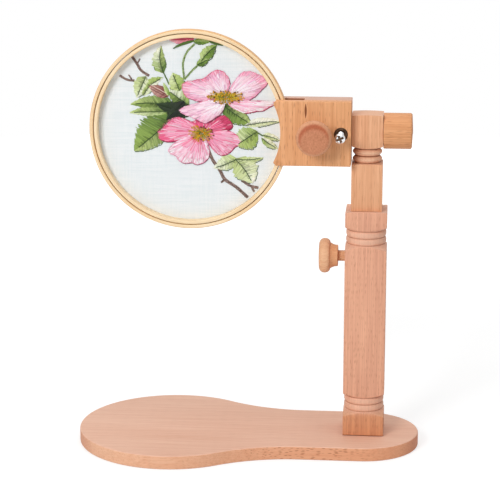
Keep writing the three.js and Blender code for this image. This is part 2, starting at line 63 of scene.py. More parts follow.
def make_camera():
    """A long lens in front of the stand, a little to its right and above it."""
    azimuth, elevation = math.radians(4.988), math.radians(13.819)
    distance = 1.77539
    aim = Vector((0.00146, 0, 0.1907))
    back = Vector((
        math.sin(azimuth) * math.cos(elevation),
        -math.cos(azimuth) * math.cos(elevation),
        math.sin(elevation),
    ))
    data = bpy.data.cameras.new("camera")
    data.sensor_width = 36
    data.lens = 133.94
    camera = bpy.data.objects.new("camera", data)
    camera.location = aim + back * distance
    camera.rotation_euler = (math.pi / 2 - elevation, 0, azimuth)
    bpy.context.scene.collection.objects.link(camera)
    bpy.context.scene.camera = camera


def add_lamp(name, place, aim, size, power):
    """A square soft box that points at a place."""
    data = bpy.data.lights.new(name, "AREA")
    data.size = size
    data.energy = power
    lamp = bpy.data.objects.new(name, data)
    lamp.location = place
    lamp.rotation_euler = (Vector(place) - Vector(aim)).to_track_quat("Z", "Y").to_euler()
    bpy.context.scene.collection.objects.link(lamp)


def make_studio():
    """Three soft boxes, an even white surrounding and a round white floor."""
    bpy.context.scene.view_settings.view_transform = "Standard"
    aim = (0, 0, 0.2)
    add_lamp("key", (-1.05, -2.3, 1.45), aim, 1.0, 42.5)
    add_lamp("fill", (1.9, -1.7, 1.0), aim, 1.6, 5.5)
    add_lamp("top", (0.1, 0.2, 2.3), aim, 1.8, 23)

    white = (1, 1, 1, 1)
    world = bpy.data.worlds.new("studio")
    bpy.context.scene.world = world
    world.use_nodes = True
    shader = Shader(world.node_tree)
    around, behind = (
        shader.add("ShaderNodeBackground", {"Color": white, "Strength": strength})
        for strength in (0.3, 1.0)
    )
    shader.finish(shader.by_ray(around, behind), "ShaderNodeOutputWorld")

    bm = bmesh.new()
    floor_radius = 1.7
    bmesh.ops.create_circle(bm, cap_ends=True, segments=64, radius=floor_radius)
    floor = new_object("floor", bm)
    paper, shader = new_material("white_paper")
    away = shader.add("ShaderNodeVectorMath", {0: shader.object_place()}, operation="LENGTH")
    strength = shader.weigh((shader.between(away.outputs["Value"], 0.3, 1.4), 0.4), base=0.6)
    lit = shader.add("ShaderNodeBsdfDiffuse", {"Color": (0.5, 0.5, 0.5, 1)})
    glow = shader.add("ShaderNodeEmission", {"Color": white, "Strength": strength})
    both = shader.add("ShaderNodeAddShader", {0: lit.outputs[0], 1: glow.outputs[0]})
    plain = shader.add("ShaderNodeBsdfDiffuse", {"Color": (0.8, 0.8, 0.8, 1)})
    shader.finish(shader.by_ray(plain, both))
    floor.data.materials.append(paper)


# ------------------------------------------------------------------ shader helpers

def colour(code):
    """A colour written as six hex digits, as linear RGBA."""
    channels = [int(code[i:i + 2], 16) / 255 for i in (0, 2, 4)]
    return (*[c / 12.92 if c < 0.04045 else ((c + 0.055) / 1.055) ** 2.4 for c in channels], 1)


def new_material(name):
    """A material and the shader that builds it."""
    material = bpy.data.materials.new(name)
    material.use_nodes = True
    return material, Shader(material.node_tree)


class Shader:
    """Short calls that add and join the nodes of one material or world.

    A value is a socket, a number, a vector, or a colour as six hex digits.
    """

    def __init__(self, tree):
        self.tree = tree
        tree.nodes.clear()

    def add(self, kind, inputs=None, **settings):
        node = self.tree.nodes.new(kind)
        for name, value in settings.items():
            setattr(node, name, value)
        for name, value in (inputs or {}).items():
            self.feed(node.inputs[name], value)
        return node

    def feed(self, socket, value):
        if isinstance(value, bpy.types.NodeSocket):
            self.tree.links.new(value, socket)
        else:
            socket.default_value = colour(value) if isinstance(value, str) else value

    def math(self, operation, first, second=0.0):
        return self.add("ShaderNodeMath", {0: first, 1: second}, operation=operation).outputs[0]

    def sum(self, first, second):
        return self.math("ADD", first, second)

    def times(self, first, second):
        return self.math("MULTIPLY", first, second)

    def inverse(self, share):
        return self.math("SUBTRACT", 1, share)

    def weigh(self, *parts, base=None):
        """A base value and the sum of (value, weight) parts."""
        for value, weight in parts:
            part = self.times(value, weight)
            base = part if base is None else self.sum(base, part)
        return base

    def clamp(self, value):
        return self.add("ShaderNodeClamp", {0: value}).outputs[0]

    def reach(self, first, second):
        """The distance from an axis, from the distances along the two other axes."""
        return self.math("SQRT", self.sum(self.times(first, first), self.times(second, second)))

    def between(self, value, low, high):
        """0 at low and 1 at high, smooth between them, whichever of the two is greater."""
        node = self.add("ShaderNodeMapRange", {0: value, 1: low, 2: high})
        node.interpolation_type = "SMOOTHSTEP"
        return node.outputs[0]

    def mix(self, share, first, second, blend="MIX"):
        values = {0: share, 6: first, 7: second}
        return self.add("ShaderNodeMix", values, data_type="RGBA", blend_type=blend).outputs[2]

    def stretch(self, vector, scale, turn=(0, 0, 0), shift=(0, 0, 0)):
        values = {"Vector": vector, "Scale": scale, "Rotation": turn, "Location": shift}
        return self.add("ShaderNodeMapping", values).outputs[0]

    def noise(self, vector, scale=1.0, detail=2.0):
        values = {"Vector": vector, "Scale": scale, "Detail": detail}
        return self.add("ShaderNodeTexNoise", values).outputs[0]

    def object_place(self):
        return self.add("ShaderNodeTexCoord").outputs["Object"]

    def normal(self):
        return self.add("ShaderNodeTexCoord").outputs["Normal"]

    def xyz(self, vector):
        return self.add("ShaderNodeSeparateXYZ", {0: vector}).outputs

    def by_ray(self, lighting, background):
        """One shader for the rays that light things, one for those that see a background.

        A background is seen straight, mirrored or through glass.
        """
        path = self.add("ShaderNodeLightPath").outputs
        seen = self.sum(path["Is Camera Ray"], path["Is Glossy Ray"])
        seen = self.clamp(self.sum(seen, path["Is Transmission Ray"]))
        return self.add("ShaderNodeMixShader", {
            0: seen, 1: lighting.outputs[0], 2: background.outputs[0],
        })

    def surface(self, body, roughness, specular, height, depth, strength, more=None):
        """Finishes a material: its colour, gloss and bump, and more sockets by name."""
        values = {"Height": height, "Distance": depth, "Strength": strength}
        bump = self.add("ShaderNodeBump", values).outputs[0]
        values = {"Base Color": body, "Roughness": roughness, "Specular IOR Level": specular}
        values |= {"Normal": bump, **(more or {})}
        self.finish(self.add("ShaderNodeBsdfPrincipled", values))

    def finish(self, surface, kind="ShaderNodeOutputMaterial"):
        self.add(kind, {"Surface": surface.outputs[0]})


# ------------------------------------------------------------------ wood, metal and thread

def end_grain(shader, along):
    """1 on faces that cross the grain, 0 on faces that run with it."""
    values = {0: shader.normal(), 1: AXIS[along]}
    cross = shader.add("ShaderNodeVectorMath", values, operation="DOT_PRODUCT").outputs["Value"]
    return shader.between(shader.math("ABSOLUTE", cross), 0.72, 0.97)


def cells(shader, place, length, width):
    """Long cells along X: each one's random number, and the distance from its middle."""
    size = (0.5 / length, 0.5 / width, 0.5 / width)
    values = {"Vector": shader.stretch(place, size), "Scale": 1.0}
    found = shader.add("ShaderNodeTexVoronoi", values).outputs
    pick = shader.add("ShaderNodeSeparateColor", {0: found["Color"]}).outputs[0]
    return pick, found["Distance"]


def beech(name, light, dark, along="Z", shift=(0, 0, 0), contrast=1.0, fleck=(3, 0.45, 0.35),
          marks=None, ends=0.6):
    """Sanded beech: growth rings about a far pith, fine streaks, short dark flecks, darker ends.

    along is the axis that the grain follows. fleck is the flecks' length and width in millimetres
    and their strength. marks is a function that adds a piece's own stains, and painted light and
    shade, to its colour. ends is how much darker the wood is where the grain is cut across.
    """
    material, shader = new_material(name)
    place = shader.object_place()
    grain = shader.stretch(place, (1, 1, 1), GRAIN_TURN[along], shift)

    ring_width = 2.3 * mm
    sway = shader.noise(shader.stretch(grain, (7, 22, 22)), detail=3)
    _, across, up = shader.xyz(grain)
    pith = shader.reach(shader.sum(across, 0.07), shader.sum(up, 0.11))
    rings = shader.weigh((pith, 1 / ring_width), (sway, 3.4))
    year = shader.math("FRACT", rings)
    late_wood = shader.times(shader.between(year, 0.4, 0.93), shader.between(year, 1.0, 0.93))

    broad, medium, fine = (
        shader.noise(shader.stretch(grain, scale), detail=2)
        for scale in ((5, 26, 26), (11, 560, 560), (45, 1500, 1500))
    )
    tone = shader.weigh(
        (shader.sum(broad, -0.5), 1.1 * contrast),
        (shader.sum(medium, -0.5), 2.3 * contrast),
        (shader.sum(fine, -0.5), 1.3 * contrast),
        (late_wood, -0.24 * contrast),
        base=0.5,
    )
    body = shader.mix(shader.clamp(tone), dark, light)

    length, width, strength = fleck
    pick, far = cells(shader, grain, length * mm, width * mm)
    spot = shader.times(shader.between(pick, 0.45, 0.6), shader.between(far, 0.46, 0.1))
    body = shader.mix(shader.times(spot, strength), body, "8a4a22")

    pores = shader.noise(shader.stretch(grain, (300, 1700, 700)), detail=1)
    end_tint = shader.mix(shader.between(pores, 0.3, 0.7), "d6b0a2", "e4c7bb")
    body = stain_and_shade(shader, body, shader.times(end_grain(shader, along), ends), end_tint)
    if marks:
        body = marks(shader, place, body)

    height = shader.weigh((medium, 0.5), (fine, 0.5), (spot, -0.5))
    shader.surface(body, shader.weigh((fine, 0.16), base=0.5), 0.35, height, 0.12 * mm, 0.7)
    return material


def bark_streak(shader, place, body, centre, length, width):
    """A dark lens-shaped streak, lengthwise along Z, round a centre in X and Z."""
    x, _, z = shader.xyz(place)
    aside = shader.times(shader.sum(x, -centre[0]), 2 / width)
    along = shader.times(shader.sum(z, -centre[1]), 2 / length)
    lens = shader.sum(shader.math("ABSOLUTE", aside), shader.times(along, along))
    return shader.mix(shader.times(shader.between(lens, 1.1, 0.75), 0.93), body, "74370c")


def stain_and_shade(shader, body, where, tint):
    """Multiplies a colour by a tint wherever a 0 to 1 mask says; it lays stains and painted shade.
    """
    return shader.mix(where, body, tint, "MULTIPLY")


def near_axis(shader, place, centre, radius, blur=0.05 * mm):
    """1 within a radius of an axis along Y, whose centre is given in X and Z."""
    x, _, z = shader.xyz(place)
    reach = shader.reach(shader.sum(x, -centre[0]), shader.sum(z, -centre[1]))
    return shader.between(reach, radius + blur, radius - blur)


def band_light_and_shade(shader, place, body, x, groove, bead, lit_slope_tint):
    """Painted light and shade on a post along Z: paler slopes and beads, dark groove bottoms."""
    aside, deep, _ = shader.xyz(place)
    reach = shader.reach(shader.sum(aside, -x), deep)
    facing_up = end_grain(shader, "Z")
    # Painted light: the up-facing slopes are paler.
    body = shader.mix(shader.times(facing_up, 0.6), body, lit_slope_tint)
    upright = shader.inverse(facing_up)
    # Painted highlight on the upright faces of the beads.
    turned = shader.times(upright, shader.between(reach, bead + 0.4 * mm, bead + 0.1 * mm))
    body = shader.mix(shader.times(turned, 0.35), body, "f8cfb6")
    # Painted shade at the bottoms of the grooves.
    bottom = shader.between(reach, groove + 0.5 * (bead - groove), groove)
    return stain_and_shade(shader, body, shader.times(bottom, upright), "a5765c")


def hoop_wood(name, light, dark, centre, outer):
    """Pale bent wood whose fine grain runs round the hoop, with a darker tan band at its outer
    edge.
    """
    material, shader = new_material(name)
    x, y, z = shader.xyz(shader.object_place())
    x, z = shader.sum(x, -centre.x), shader.sum(z, -centre.z)
    reach = shader.reach(x, z)
    layers = shader.weigh((reach, 900), (y, 700))
    round_x, round_z = (shader.math("DIVIDE", part, reach) for part in (x, z))

    def lines(round_scale, layer_scale):
        vector = shader.add("ShaderNodeCombineXYZ", {
            0: shader.times(round_x, round_scale),
            1: shader.times(layers, layer_scale),
            2: shader.times(round_z, round_scale),
        })
        return shader.noise(vector.outputs[0])

    wide, thin = lines(2.2, 0.35), lines(6.0, 1.6)
    tone = shader.weigh((wide, 0.9), (thin, 0.7))
    body = shader.mix(shader.between(tone, 0.45, 1.1), dark, light)
    body = stain_and_shade(shader, body, shader.between(reach, outer - 0.8 * mm, outer - 0.1 * mm), "edcda2")
    shader.surface(body, shader.weigh((thin, 0.18), base=0.36), 0.4, thin, 0.08 * mm, 0.6)
    return material


def metal(name, light, dark, roughness):
    """Plated steel or brass with faint turning marks and fingerprints."""
    material, shader = new_material(name)
    place = shader.object_place()
    marks = shader.noise(shader.stretch(place, (260, 2600, 260)))
    smears = shader.noise(place, 160, 3)
    body = shader.mix(shader.between(smears, 0.3, 0.75), dark, light)
    rough = shader.weigh((smears, 0.1), (marks, 0.06), base=roughness - 0.05)
    shader.surface(body, rough, 0.5, marks, 0.02 * mm, 0.5, {"Metallic": 1.0})
    return material


def cotton(name):
    """Plain-woven cotton: warp over weft in turn, with thicker and thinner yarns."""
    material, shader = new_material(name)
    place = shader.object_place()
    x, _, z = shader.xyz(place)
    pitch = 0.62 * mm
    drift = shader.noise(place, 60, 1)
    warp, weft = (
        shader.math("SINE", shader.sum(shader.times(part, math.pi / pitch), drift))
        for part in (x, z)
    )
    over = shader.between(shader.times(warp, weft), -0.25, 0.25)
    warp_high = shader.times(shader.math("ABSOLUTE", warp), over)
    weft_high = shader.times(shader.math("ABSOLUTE", weft), shader.inverse(over))
    yarn = shader.sum(warp_high, weft_high)

    slub_across = shader.noise(shader.stretch(place, (30, 1, 620)))
    slub_down = shader.noise(shader.stretch(place, (620, 1, 30)))
    slub = shader.weigh((slub_across, 0.6), (slub_down, 0.4))
    body = shader.mix(shader.between(slub, 0.35, 0.65), "edf3f5", "f9fbfc")
    body = shader.mix(shader.between(yarn, 0.15, 0.7), "dce5e8", body)
    height = shader.weigh((slub, 0.5), base=yarn)
    shader.surface(body, 0.85, 0.25, height, 0.14 * mm, 0.6, {"Sheen Weight": 0.15})
    return material


def floss(name):
    """Stranded cotton. Each stitch carries its own colour in the attribute thread."""
    material, shader = new_material(name)
    dyed = shader.add("ShaderNodeAttribute", attribute_name="thread").outputs["Color"]
    fibres = shader.noise(shader.object_place(), 2600)
    body = stain_and_shade(shader, dyed, shader.between(fibres, 0.35, 0.7), "f4f4f4")
    shader.surface(body, 0.55, 0.3, fibres, 0.05 * mm, 0.5, {"Sheen Weight": 0.05})
    return material


# ------------------------------------------------------------------ mesh helpers

def new_object(name, bm):
    mesh = bpy.data.meshes.new(name)
    bm.to_mesh(mesh)
    bm.free()
    piece = bpy.data.objects.new(name, mesh)
    bpy.context.scene.collection.objects.link(piece)
    return piece


def tidy(bm):
    """Joins doubled points and turns every face outwards."""
    bmesh.ops.remove_doubles(bm, verts=bm.verts, dist=0.002 * mm)
    bmesh.ops.dissolve_degenerate(bm, edges=bm.edges, dist=0.001 * mm)
    bmesh.ops.recalc_face_normals(bm, faces=bm.faces)
    return bm


def fillet(corners, closed=False, steps=6):
    """A profile of (radius, height, rounding) corners as (radius, height) points with arcs."""
    line = []
    count = len(corners)
    for i, (radius, height, rounding) in enumerate(corners):
        corner = Vector((radius, height))
        if rounding == 0 or (not closed and i in (0, count - 1)):
            line.append(corner)
            continue
        before = (Vector(corners[i - 1][:2]) - corner).normalized()
        after = (Vector(corners[(i + 1) % count][:2]) - corner).normalized()
        half = before.angle(after) / 2
        centre = corner + (before + after).normalized() * (rounding / math.sin(half))
        start = corner + before * (rounding / math.tan(half)) - centre
        end = corner + after * (rounding / math.tan(half)) - centre
        line.extend(centre + start.slerp(end, k / steps) * rounding for k in range(steps + 1))
    return line


def rotate(bm, angle, axis):
    bmesh.ops.rotate(bm, verts=bm.verts, matrix=Matrix.Rotation(angle, 3, axis))


def move(bm, verts, vec):
    bmesh.ops.translate(bm, verts=verts, vec=vec)


def close_holes(bm):
    bmesh.ops.holes_fill(bm, edges=[e for e in bm.edges if e.is_boundary], sides=0)


def points_of(geometry):
    return [v for v in geometry if isinstance(v, bmesh.types.BMVert)]


def turn_on_lathe(line, steps=96, closed=False, sweep=2 * math.pi, start=0.0):
    """Spins a line of (radius, height) points about Z."""
    bm = bmesh.new()
    points = [bm.verts.new((radius, 0, height)) for radius, height in line]
    for first, second in zip(points, points[1:]):
        bm.edges.new((first, second))
    if closed:
        bm.edges.new((points[-1], points[0]))
    full = abs(sweep - 2 * math.pi) < 1e-6
    rotate(bm, start, "Z")
    bmesh.ops.spin(
        bm, geom=bm.verts[:] + bm.edges[:], cent=(0, 0, 0), axis=(0, 0, 1), angle=sweep,
        steps=steps, use_merge=full,
    )
    if not full:
        bmesh.ops.remove_doubles(bm, verts=bm.verts, dist=0.002 * mm)
        close_holes(bm)
    return tidy(bm)


def point_along(bm, direction, place):
    """Moves a piece made along +Z so that it points along a direction from a place."""
    turn = AXIS["Z"].rotation_difference(Vector(direction)).to_matrix().to_4x4()
    bmesh.ops.transform(bm, matrix=Matrix.Translation(place) @ turn, verts=bm.verts)
    return bm


def outline(start, bends):
    """A closed outline in X and Y. Each bend is (centre, angle, steps), or a corner's (x, y)."""
    bm = bmesh.new()
    tip = bm.verts.new((*start, 0))
    for bend in bends:
        if len(bend) == 2:
            corner = bm.verts.new((*bend, 0))
            bm.edges.new((tip, corner))
            tip = corner
            continue
        centre, angle, steps = bend
        made = bmesh.ops.spin(
            bm, geom=[tip], cent=(*centre, 0), axis=(0, 0, 1), angle=angle, steps=steps,
        )
        tip = points_of(made["geom_last"])[0]
    bmesh.ops.remove_doubles(bm, verts=bm.verts, dist=0.01 * mm)
    bmesh.ops.contextual_create(bm, geom=bm.edges[:])
    return bm


def thicken(bm, depth):
    """Extrudes a flat outline along +Z."""
    made = bmesh.ops.extrude_face_region(bm, geom=bm.faces[:])
    move(bm, points_of(made["geom"]), (0, 0, depth))
    bmesh.ops.recalc_face_normals(bm, faces=bm.faces)
    return bm


def ease_edges(bm, amount, angle=50, segments=3):
    """Rounds every edge sharper than an angle."""
    limit = math.radians(angle)
    sharp = [e for e in bm.edges if len(e.link_faces) == 2 and e.calc_face_angle(0) > limit]
    bmesh.ops.bevel(
        bm, geom=sharp, offset=amount, offset_type="OFFSET", segments=segments, profile=0.5,
        affect="EDGES", clamp_overlap=True, material=-1,
    )
    return bm


def box_between(low, high):
    bm = bmesh.new()
    size = Vector(high) - Vector(low)
    middle = (Vector(low) + Vector(high)) / 2
    bmesh.ops.create_cube(bm, size=1, matrix=Matrix.Translation(middle))
    bmesh.ops.scale(bm, vec=size, space=Matrix.Translation(-middle), verts=bm.verts)
    return bm


def middle_of(node):
    """The middle of a node's box, as x, y and z."""
    return [(low + high) / 2 for low, high in zip(*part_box(node))]


def drill_bit(radius, direction, start, depth, steps=48):
    """A round cutter from a place, so far in a direction."""
    bm = turn_on_lathe([(0, 0), (radius, 0), (radius, depth), (0, depth)], steps)
    return point_along(bm, direction, start)


def cut_away(bm, cutters):
    """Takes each cutter's space out of a piece, with a Boolean that is applied at once."""
    work = new_object("work", bm)
    tools = [new_object("cutter", cutter) for cutter in cutters]
    for tool in tools:
        cut = work.modifiers.new("cut", "BOOLEAN")
        cut.operation, cut.solver, cut.object = "DIFFERENCE", "EXACT", tool
    result = bmesh.new()
    result.from_object(work, bpy.context.evaluated_depsgraph_get())
    for done in [work, *tools]:
        bpy.data.objects.remove(done)
    return tidy(result)


def finish_piece(name, bm, material, body, node=None, smooth=32):
    """Makes the object, shades it smooth except at its edges, and ties it to its CAD body."""
    piece = new_object(name, bm)
    piece.data.materials.append(material)
    piece.data.shade_smooth()
    piece.data.set_sharp_from_angle(angle=math.radians(smooth))
    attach(piece, body)
    if node:
        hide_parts(node)
    return piece


# ------------------------------------------------------------------ stand

def make_board():
    low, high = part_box("base_board")
    lobe, end, waist = 91.5 * mm, 54 * mm, 140 * mm
    lobe_x, end_x = low.x + lobe, high.x - end
    waist_y = end + waist
    waist_x = lobe_x + math.sqrt((lobe + waist) ** 2 - waist_y ** 2)
    meet = math.atan2(waist_y, waist_x - lobe_x)
    bm = outline((end_x, -end), [
        ((end_x, 0), math.pi, 48),
        (waist_x, end),
        ((waist_x, waist_y), meet - math.pi / 2, 28),
        ((lobe_x, 0), 2 * (math.pi - meet), 96),
        ((waist_x, -waist_y), meet - math.pi / 2, 28),
    ])
    thicken(bm, high.z - low.z)
    ease_edges(bm, 1.5 * mm, angle=60, segments=5)
    pocket_place = (middle_of("base_washer")[0], 0, -1 * mm)
    bm = cut_away(bm, [drill_bit(11.5 * mm, AXIS["Z"], pocket_place, 7.5 * mm)])

    def edge_shade_and_figure(shader, place, body):
        """Painted shade makes the edge oranger than the face, and more so towards the post."""
        facing = shader.xyz(shader.normal())["Z"]
        upright = shader.between(shader.math("ABSOLUTE", facing), 0.7, 0.3)
        along = shader.xyz(place)["X"]
        # Painted shade that deepens along the edge towards the post.
        edge_falloff_shade = shader.mix(shader.between(along, low.x, high.x), "fff8ea", "f6d9bf")
        body = stain_and_shade(shader, body, upright, edge_falloff_shade)
        pick, far = cells(shader, place, 2.6 * mm, 0.5 * mm)
        figured = shader.times(
            shader.between(along, -10 * mm, 30 * mm), shader.between(along, 130 * mm, 95 * mm),
        )
        dashes = shader.times(shader.between(pick, 0.35, 0.5), shader.between(far, 0.5, 0.2))
        dashes = shader.times(dashes, shader.weigh((figured, 0.55), base=0.16))
        return shader.mix(shader.times(dashes, upright), body, "9a5426")

    wood = beech("board_beech", "efc5ad", "e0ab90", "X", (0.3, 0.05, 0.02), 0.55, (6, 0.45, 0.12),
                 edge_shade_and_figure)
    finish_piece("board", bm, wood, "stand", "base_board")


def band_line(width, bottom, bead, groove, run_outs, fullness):
    """Two turned beads between three grooves, with run-outs into the square below and above.

    fullness 1 gives pointed beads, and more gives rounder ones with narrow grooves.
    """
    corner = 0.75 * width
    steps = 12
    line = [(corner, bottom - run_outs[0])]
    for row in range(2):
        for i in range(steps):
            swell = 1 - abs(2 * i / steps - 1) ** fullness
            height = bottom + BEAD_HEIGHT * (row + i / steps)
            line.append((groove + (bead - groove) * swell, height))
    top = bottom + 2 * BEAD_HEIGHT
    return line + [(groove, top), (corner, top + run_outs[1])]


def turn_post(line, width, x, easing):
    """A post turned to a line, moved to x, planed square on its four sides, and eased."""
    bm = turn_on_lathe(line, 128)
    move(bm, bm.verts, (x, 0, 0))
    for side in (1, -1):
        for direction in (AXIS["X"], AXIS["Y"]):
            bmesh.ops.bisect_plane(
                bm, geom=bm.verts[:] + bm.edges[:] + bm.faces[:], dist=0.0005 * mm,
                plane_co=Vector((x, 0, 0)) + direction * side * width / 2,
                plane_no=direction * side, clear_outer=True,
            )
            close_holes(bm)
    return ease_edges(tidy(bm), easing)


def make_lower_post():
    low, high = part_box("lower_post")
    width, x = high.x - low.x, (low.x + high.x) / 2
    corner = 0.75 * width
    bead, groove = 19 * mm, 17.5 * mm
    bore, bore_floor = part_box("height_rod")[1].x - x + 0.3 * mm, low.z + 43.6 * mm
    foot, head = low.z + 23.6 * mm, high.z - 19 * mm - 2 * BEAD_HEIGHT
    sizes = (bead, groove, (5.5 * mm, 5.5 * mm), 3.6)
    line = [(0, low.z), (corner, low.z)]
    line += band_line(width, foot, *sizes) + band_line(width, head, *sizes)
    line += [(corner, high.z), (bore, high.z), (bore, bore_floor), (0, bore_floor)]
    bm = turn_post(line, width, x, 0.6 * mm)
    start = (low.x - HOLE_START, 0, middle_of("height_screw")[2])
    bm = cut_away(bm, [drill_bit(5.4 * mm, AXIS["X"], start, width / 2)])

    def band_shading_and_dark_foot(shader, place, body):
        """Painted light and shade on the bands; the foot block is darker and oranger, darker still
        at its bottom edge.
        """
        body = band_light_and_shade(shader, place, body, x, groove, bead, "f7cfb6")
        up = shader.xyz(place)["Z"]
        body = stain_and_shade(shader, body, shader.between(up, foot + 1 * mm, foot - 5 * mm), "efe2cb")
        return stain_and_shade(shader, body, shader.between(up, low.z + 1.0 * mm, low.z + 0.3 * mm), "b89272")

    wood = beech("post_beech", "eeb392", "d2957a", "Z", (0.02, 0.012, 0.2), 0.66, (3.2, 0.4, 0.36),
                 band_shading_and_dark_foot, 0)
    finish_piece("lower_post_turned", bm, wood, "stand", "lower_post")


def make_head_post():
    low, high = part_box("head_post")
    width, x = high.x - low.x, (low.x + high.x) / 2
    corner = 0.75 * width
    crown = 1.2 * mm
    bead, groove = 13.9 * mm, 11.2 * mm
    line = [(0, low.z), (corner, low.z)]
    line += band_line(width, low.z + 44.9 * mm, bead, groove, (0.6 * mm, 3.6 * mm), 1.7)
    line += [(corner, high.z - crown), (width / 2, high.z - crown / 2), (0, high.z)]
    bm = turn_post(line, width, x, 0.7 * mm)
    start = (low.x - HOLE_START, 0, middle_of("tilt_stud")[2])
    bm = cut_away(bm, [drill_bit(3.3 * mm, AXIS["X"], start, width + 2 * HOLE_START)])

    def head_band_shading(shader, place, body):
        # Painted light and shade on the beads and grooves.
        return band_light_and_shade(shader, place, body, x, groove, bead, "dcae92")

    wood = beech("head_beech", "f1ba91", "d6986f", "Z", (0.05, 0.04, 0.1), 0.62, (6, 0.45, 0.28),
                 head_band_shading, 0)
    finish_piece("head_post_turned", bm, wood, "head", "head_post")


# ------------------------------------------------------------------ knobs

def knob_line():
    """A knob from its flange at 0: a flared neck, a crease, and a full round cap."""
    flange, shoulder, cap, face = 10.3 * mm, 12.6 * mm, 16.5 * mm, 11.4 * mm
    rim, neck_length, widest, length = 1.2 * mm, 7.4 * mm, 12.4 * mm, 18.2 * mm
    crown = 0.3 * mm
    straight = 2 * crown  # the short straight side at the cap's widest
    line = fillet([(0, 0, 0), (flange, 0, 0.5 * mm), (flange, rim, 0)], steps=4)
    parts = [i / 12 for i in range(13)]
    for part in parts[1:]:
        line.append((flange + (shoulder - flange) * part ** 2, rim + (neck_length - rim) * part))
    for part in parts[1:]:
        turn = math.pi / 2 * (0.12 + 0.88 * part)
        swell = shoulder + (cap - shoulder) * math.sin(turn)
        line.append((swell, widest - (widest - neck_length) * math.cos(turn)))
    for part in parts:
        turn = math.pi / 2 * part
        rise = (length - widest - straight - crown) * math.sin(turn)
        line.append((face + (cap - face) * math.cos(turn), widest + straight + rise))
    for part in parts[1:]:
        line.append((face * (1 - part), length - crown * (1 - part) ** 2))
    return line


def make_wooden_knob(name, node, direction, flange_place, tones, shift, marks):
    along = "X" if abs(direction[0]) > 0.5 else "Y"
    bm = point_along(turn_on_lathe(knob_line(), 96), direction, flange_place)
    wood = beech(name + "_beech", *tones, along, shift, 0.6, (2, 0.4, 0.2), marks)
    finish_piece(name, bm, wood, node, node)


def make_knobs():
    """The two turned knobs and the plain round one. A knob's body has its node's name."""
    neck_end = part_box("height_knob")[1].x
    place = (neck_end, 0, middle_of("height_knob")[2])

    def neck_shade(shader, position, body):
        """Painted shade: the neck is a little darker than the cap."""
        neck = shader.between(shader.xyz(position)["X"], neck_end - 8.5 * mm, neck_end - 6.5 * mm)
        return stain_and_shade(shader, body, neck, "f7ecdf")

    make_wooden_knob("height_knob_turned", "height_knob", (-1, 0, 0), place, ("f5c69c", "dfa37c"),
                     (0, 0.01, 0.03), neck_shade)

    x, _, z = middle_of("jaw_knob")
    place = (x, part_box("jaw_knob")[1].y, z)

    def redder_top_crescent(shader, position, body):
        """A redder crescent crosses the top of the face."""
        face = near_axis(shader, position, (x, z), 13.6 * mm, 1.2 * mm)
        below = near_axis(shader, position, (x + 0.8 * mm, z - 4.2 * mm), 13.6 * mm, 2 * mm)
        arc = shader.times(face, shader.inverse(below))
        return stain_and_shade(shader, body, shader.times(arc, 0.75), "dfa27f")

    make_wooden_knob("jaw_knob_turned", "jaw_knob", (0, -1, 0), place, ("e2a57f", "c48863"),
                     (0.02, 0.01, -0.42), redder_top_crescent)

    low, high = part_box("tilt_knob")
    crown, shim = 0.8 * mm, 0.5 * mm
    radius, length = (high.z - low.z) / 2, high.x - low.x - crown
    line = fillet([
        (0, -shim, 0), (radius, -shim, 0.6 * mm), (radius, length, 2 * mm), (0, length + crown, 0),
    ])
    place = (low.x, 0, (low.z + high.z) / 2)
    bm = point_along(turn_on_lathe(line, 96), (1, 0, 0), place)
    wood = beech("tilt_knob_beech", "eaac7a", "c98554", "X", (0.1, 0.03, 0.0), 0.62,
                 (4.5, 0.45, 0.45))
    finish_piece("tilt_knob_turned", bm, wood, "tilt_knob", "tilt_knob")


# ------------------------------------------------------------------ clamp

def jaw_outline(low, high):
    """The jaws' shape in X and Z: square at the right, hollow with two blunt horns at the left."""
    half = (high.z - low.z) / 2
    horn = 2.6 * mm
    depth = 6.6 * mm
    horn_z = half - horn
    radius = (horn_z ** 2 + depth ** 2) / (2 * depth)
    centre = low.x + depth - radius
    spread = math.asin(horn_z / radius)
    return outline((low.x + horn, -half), [
        (high.x, -half),
        (high.x, half),
        (low.x + horn, half),
        (low.x, horn_z),
        ((centre, 0), -2 * spread, 40),
    ])


def raise_jaw(low, high):
    """A jaw's block, upright, from its back face to its front face."""
    bm = thicken(jaw_outline(low, high), high.y - low.y)
    rotate(bm, math.pi / 2, "X")
    move(bm, bm.verts, (0, high.y, (low.z + high.z) / 2))
    return bm


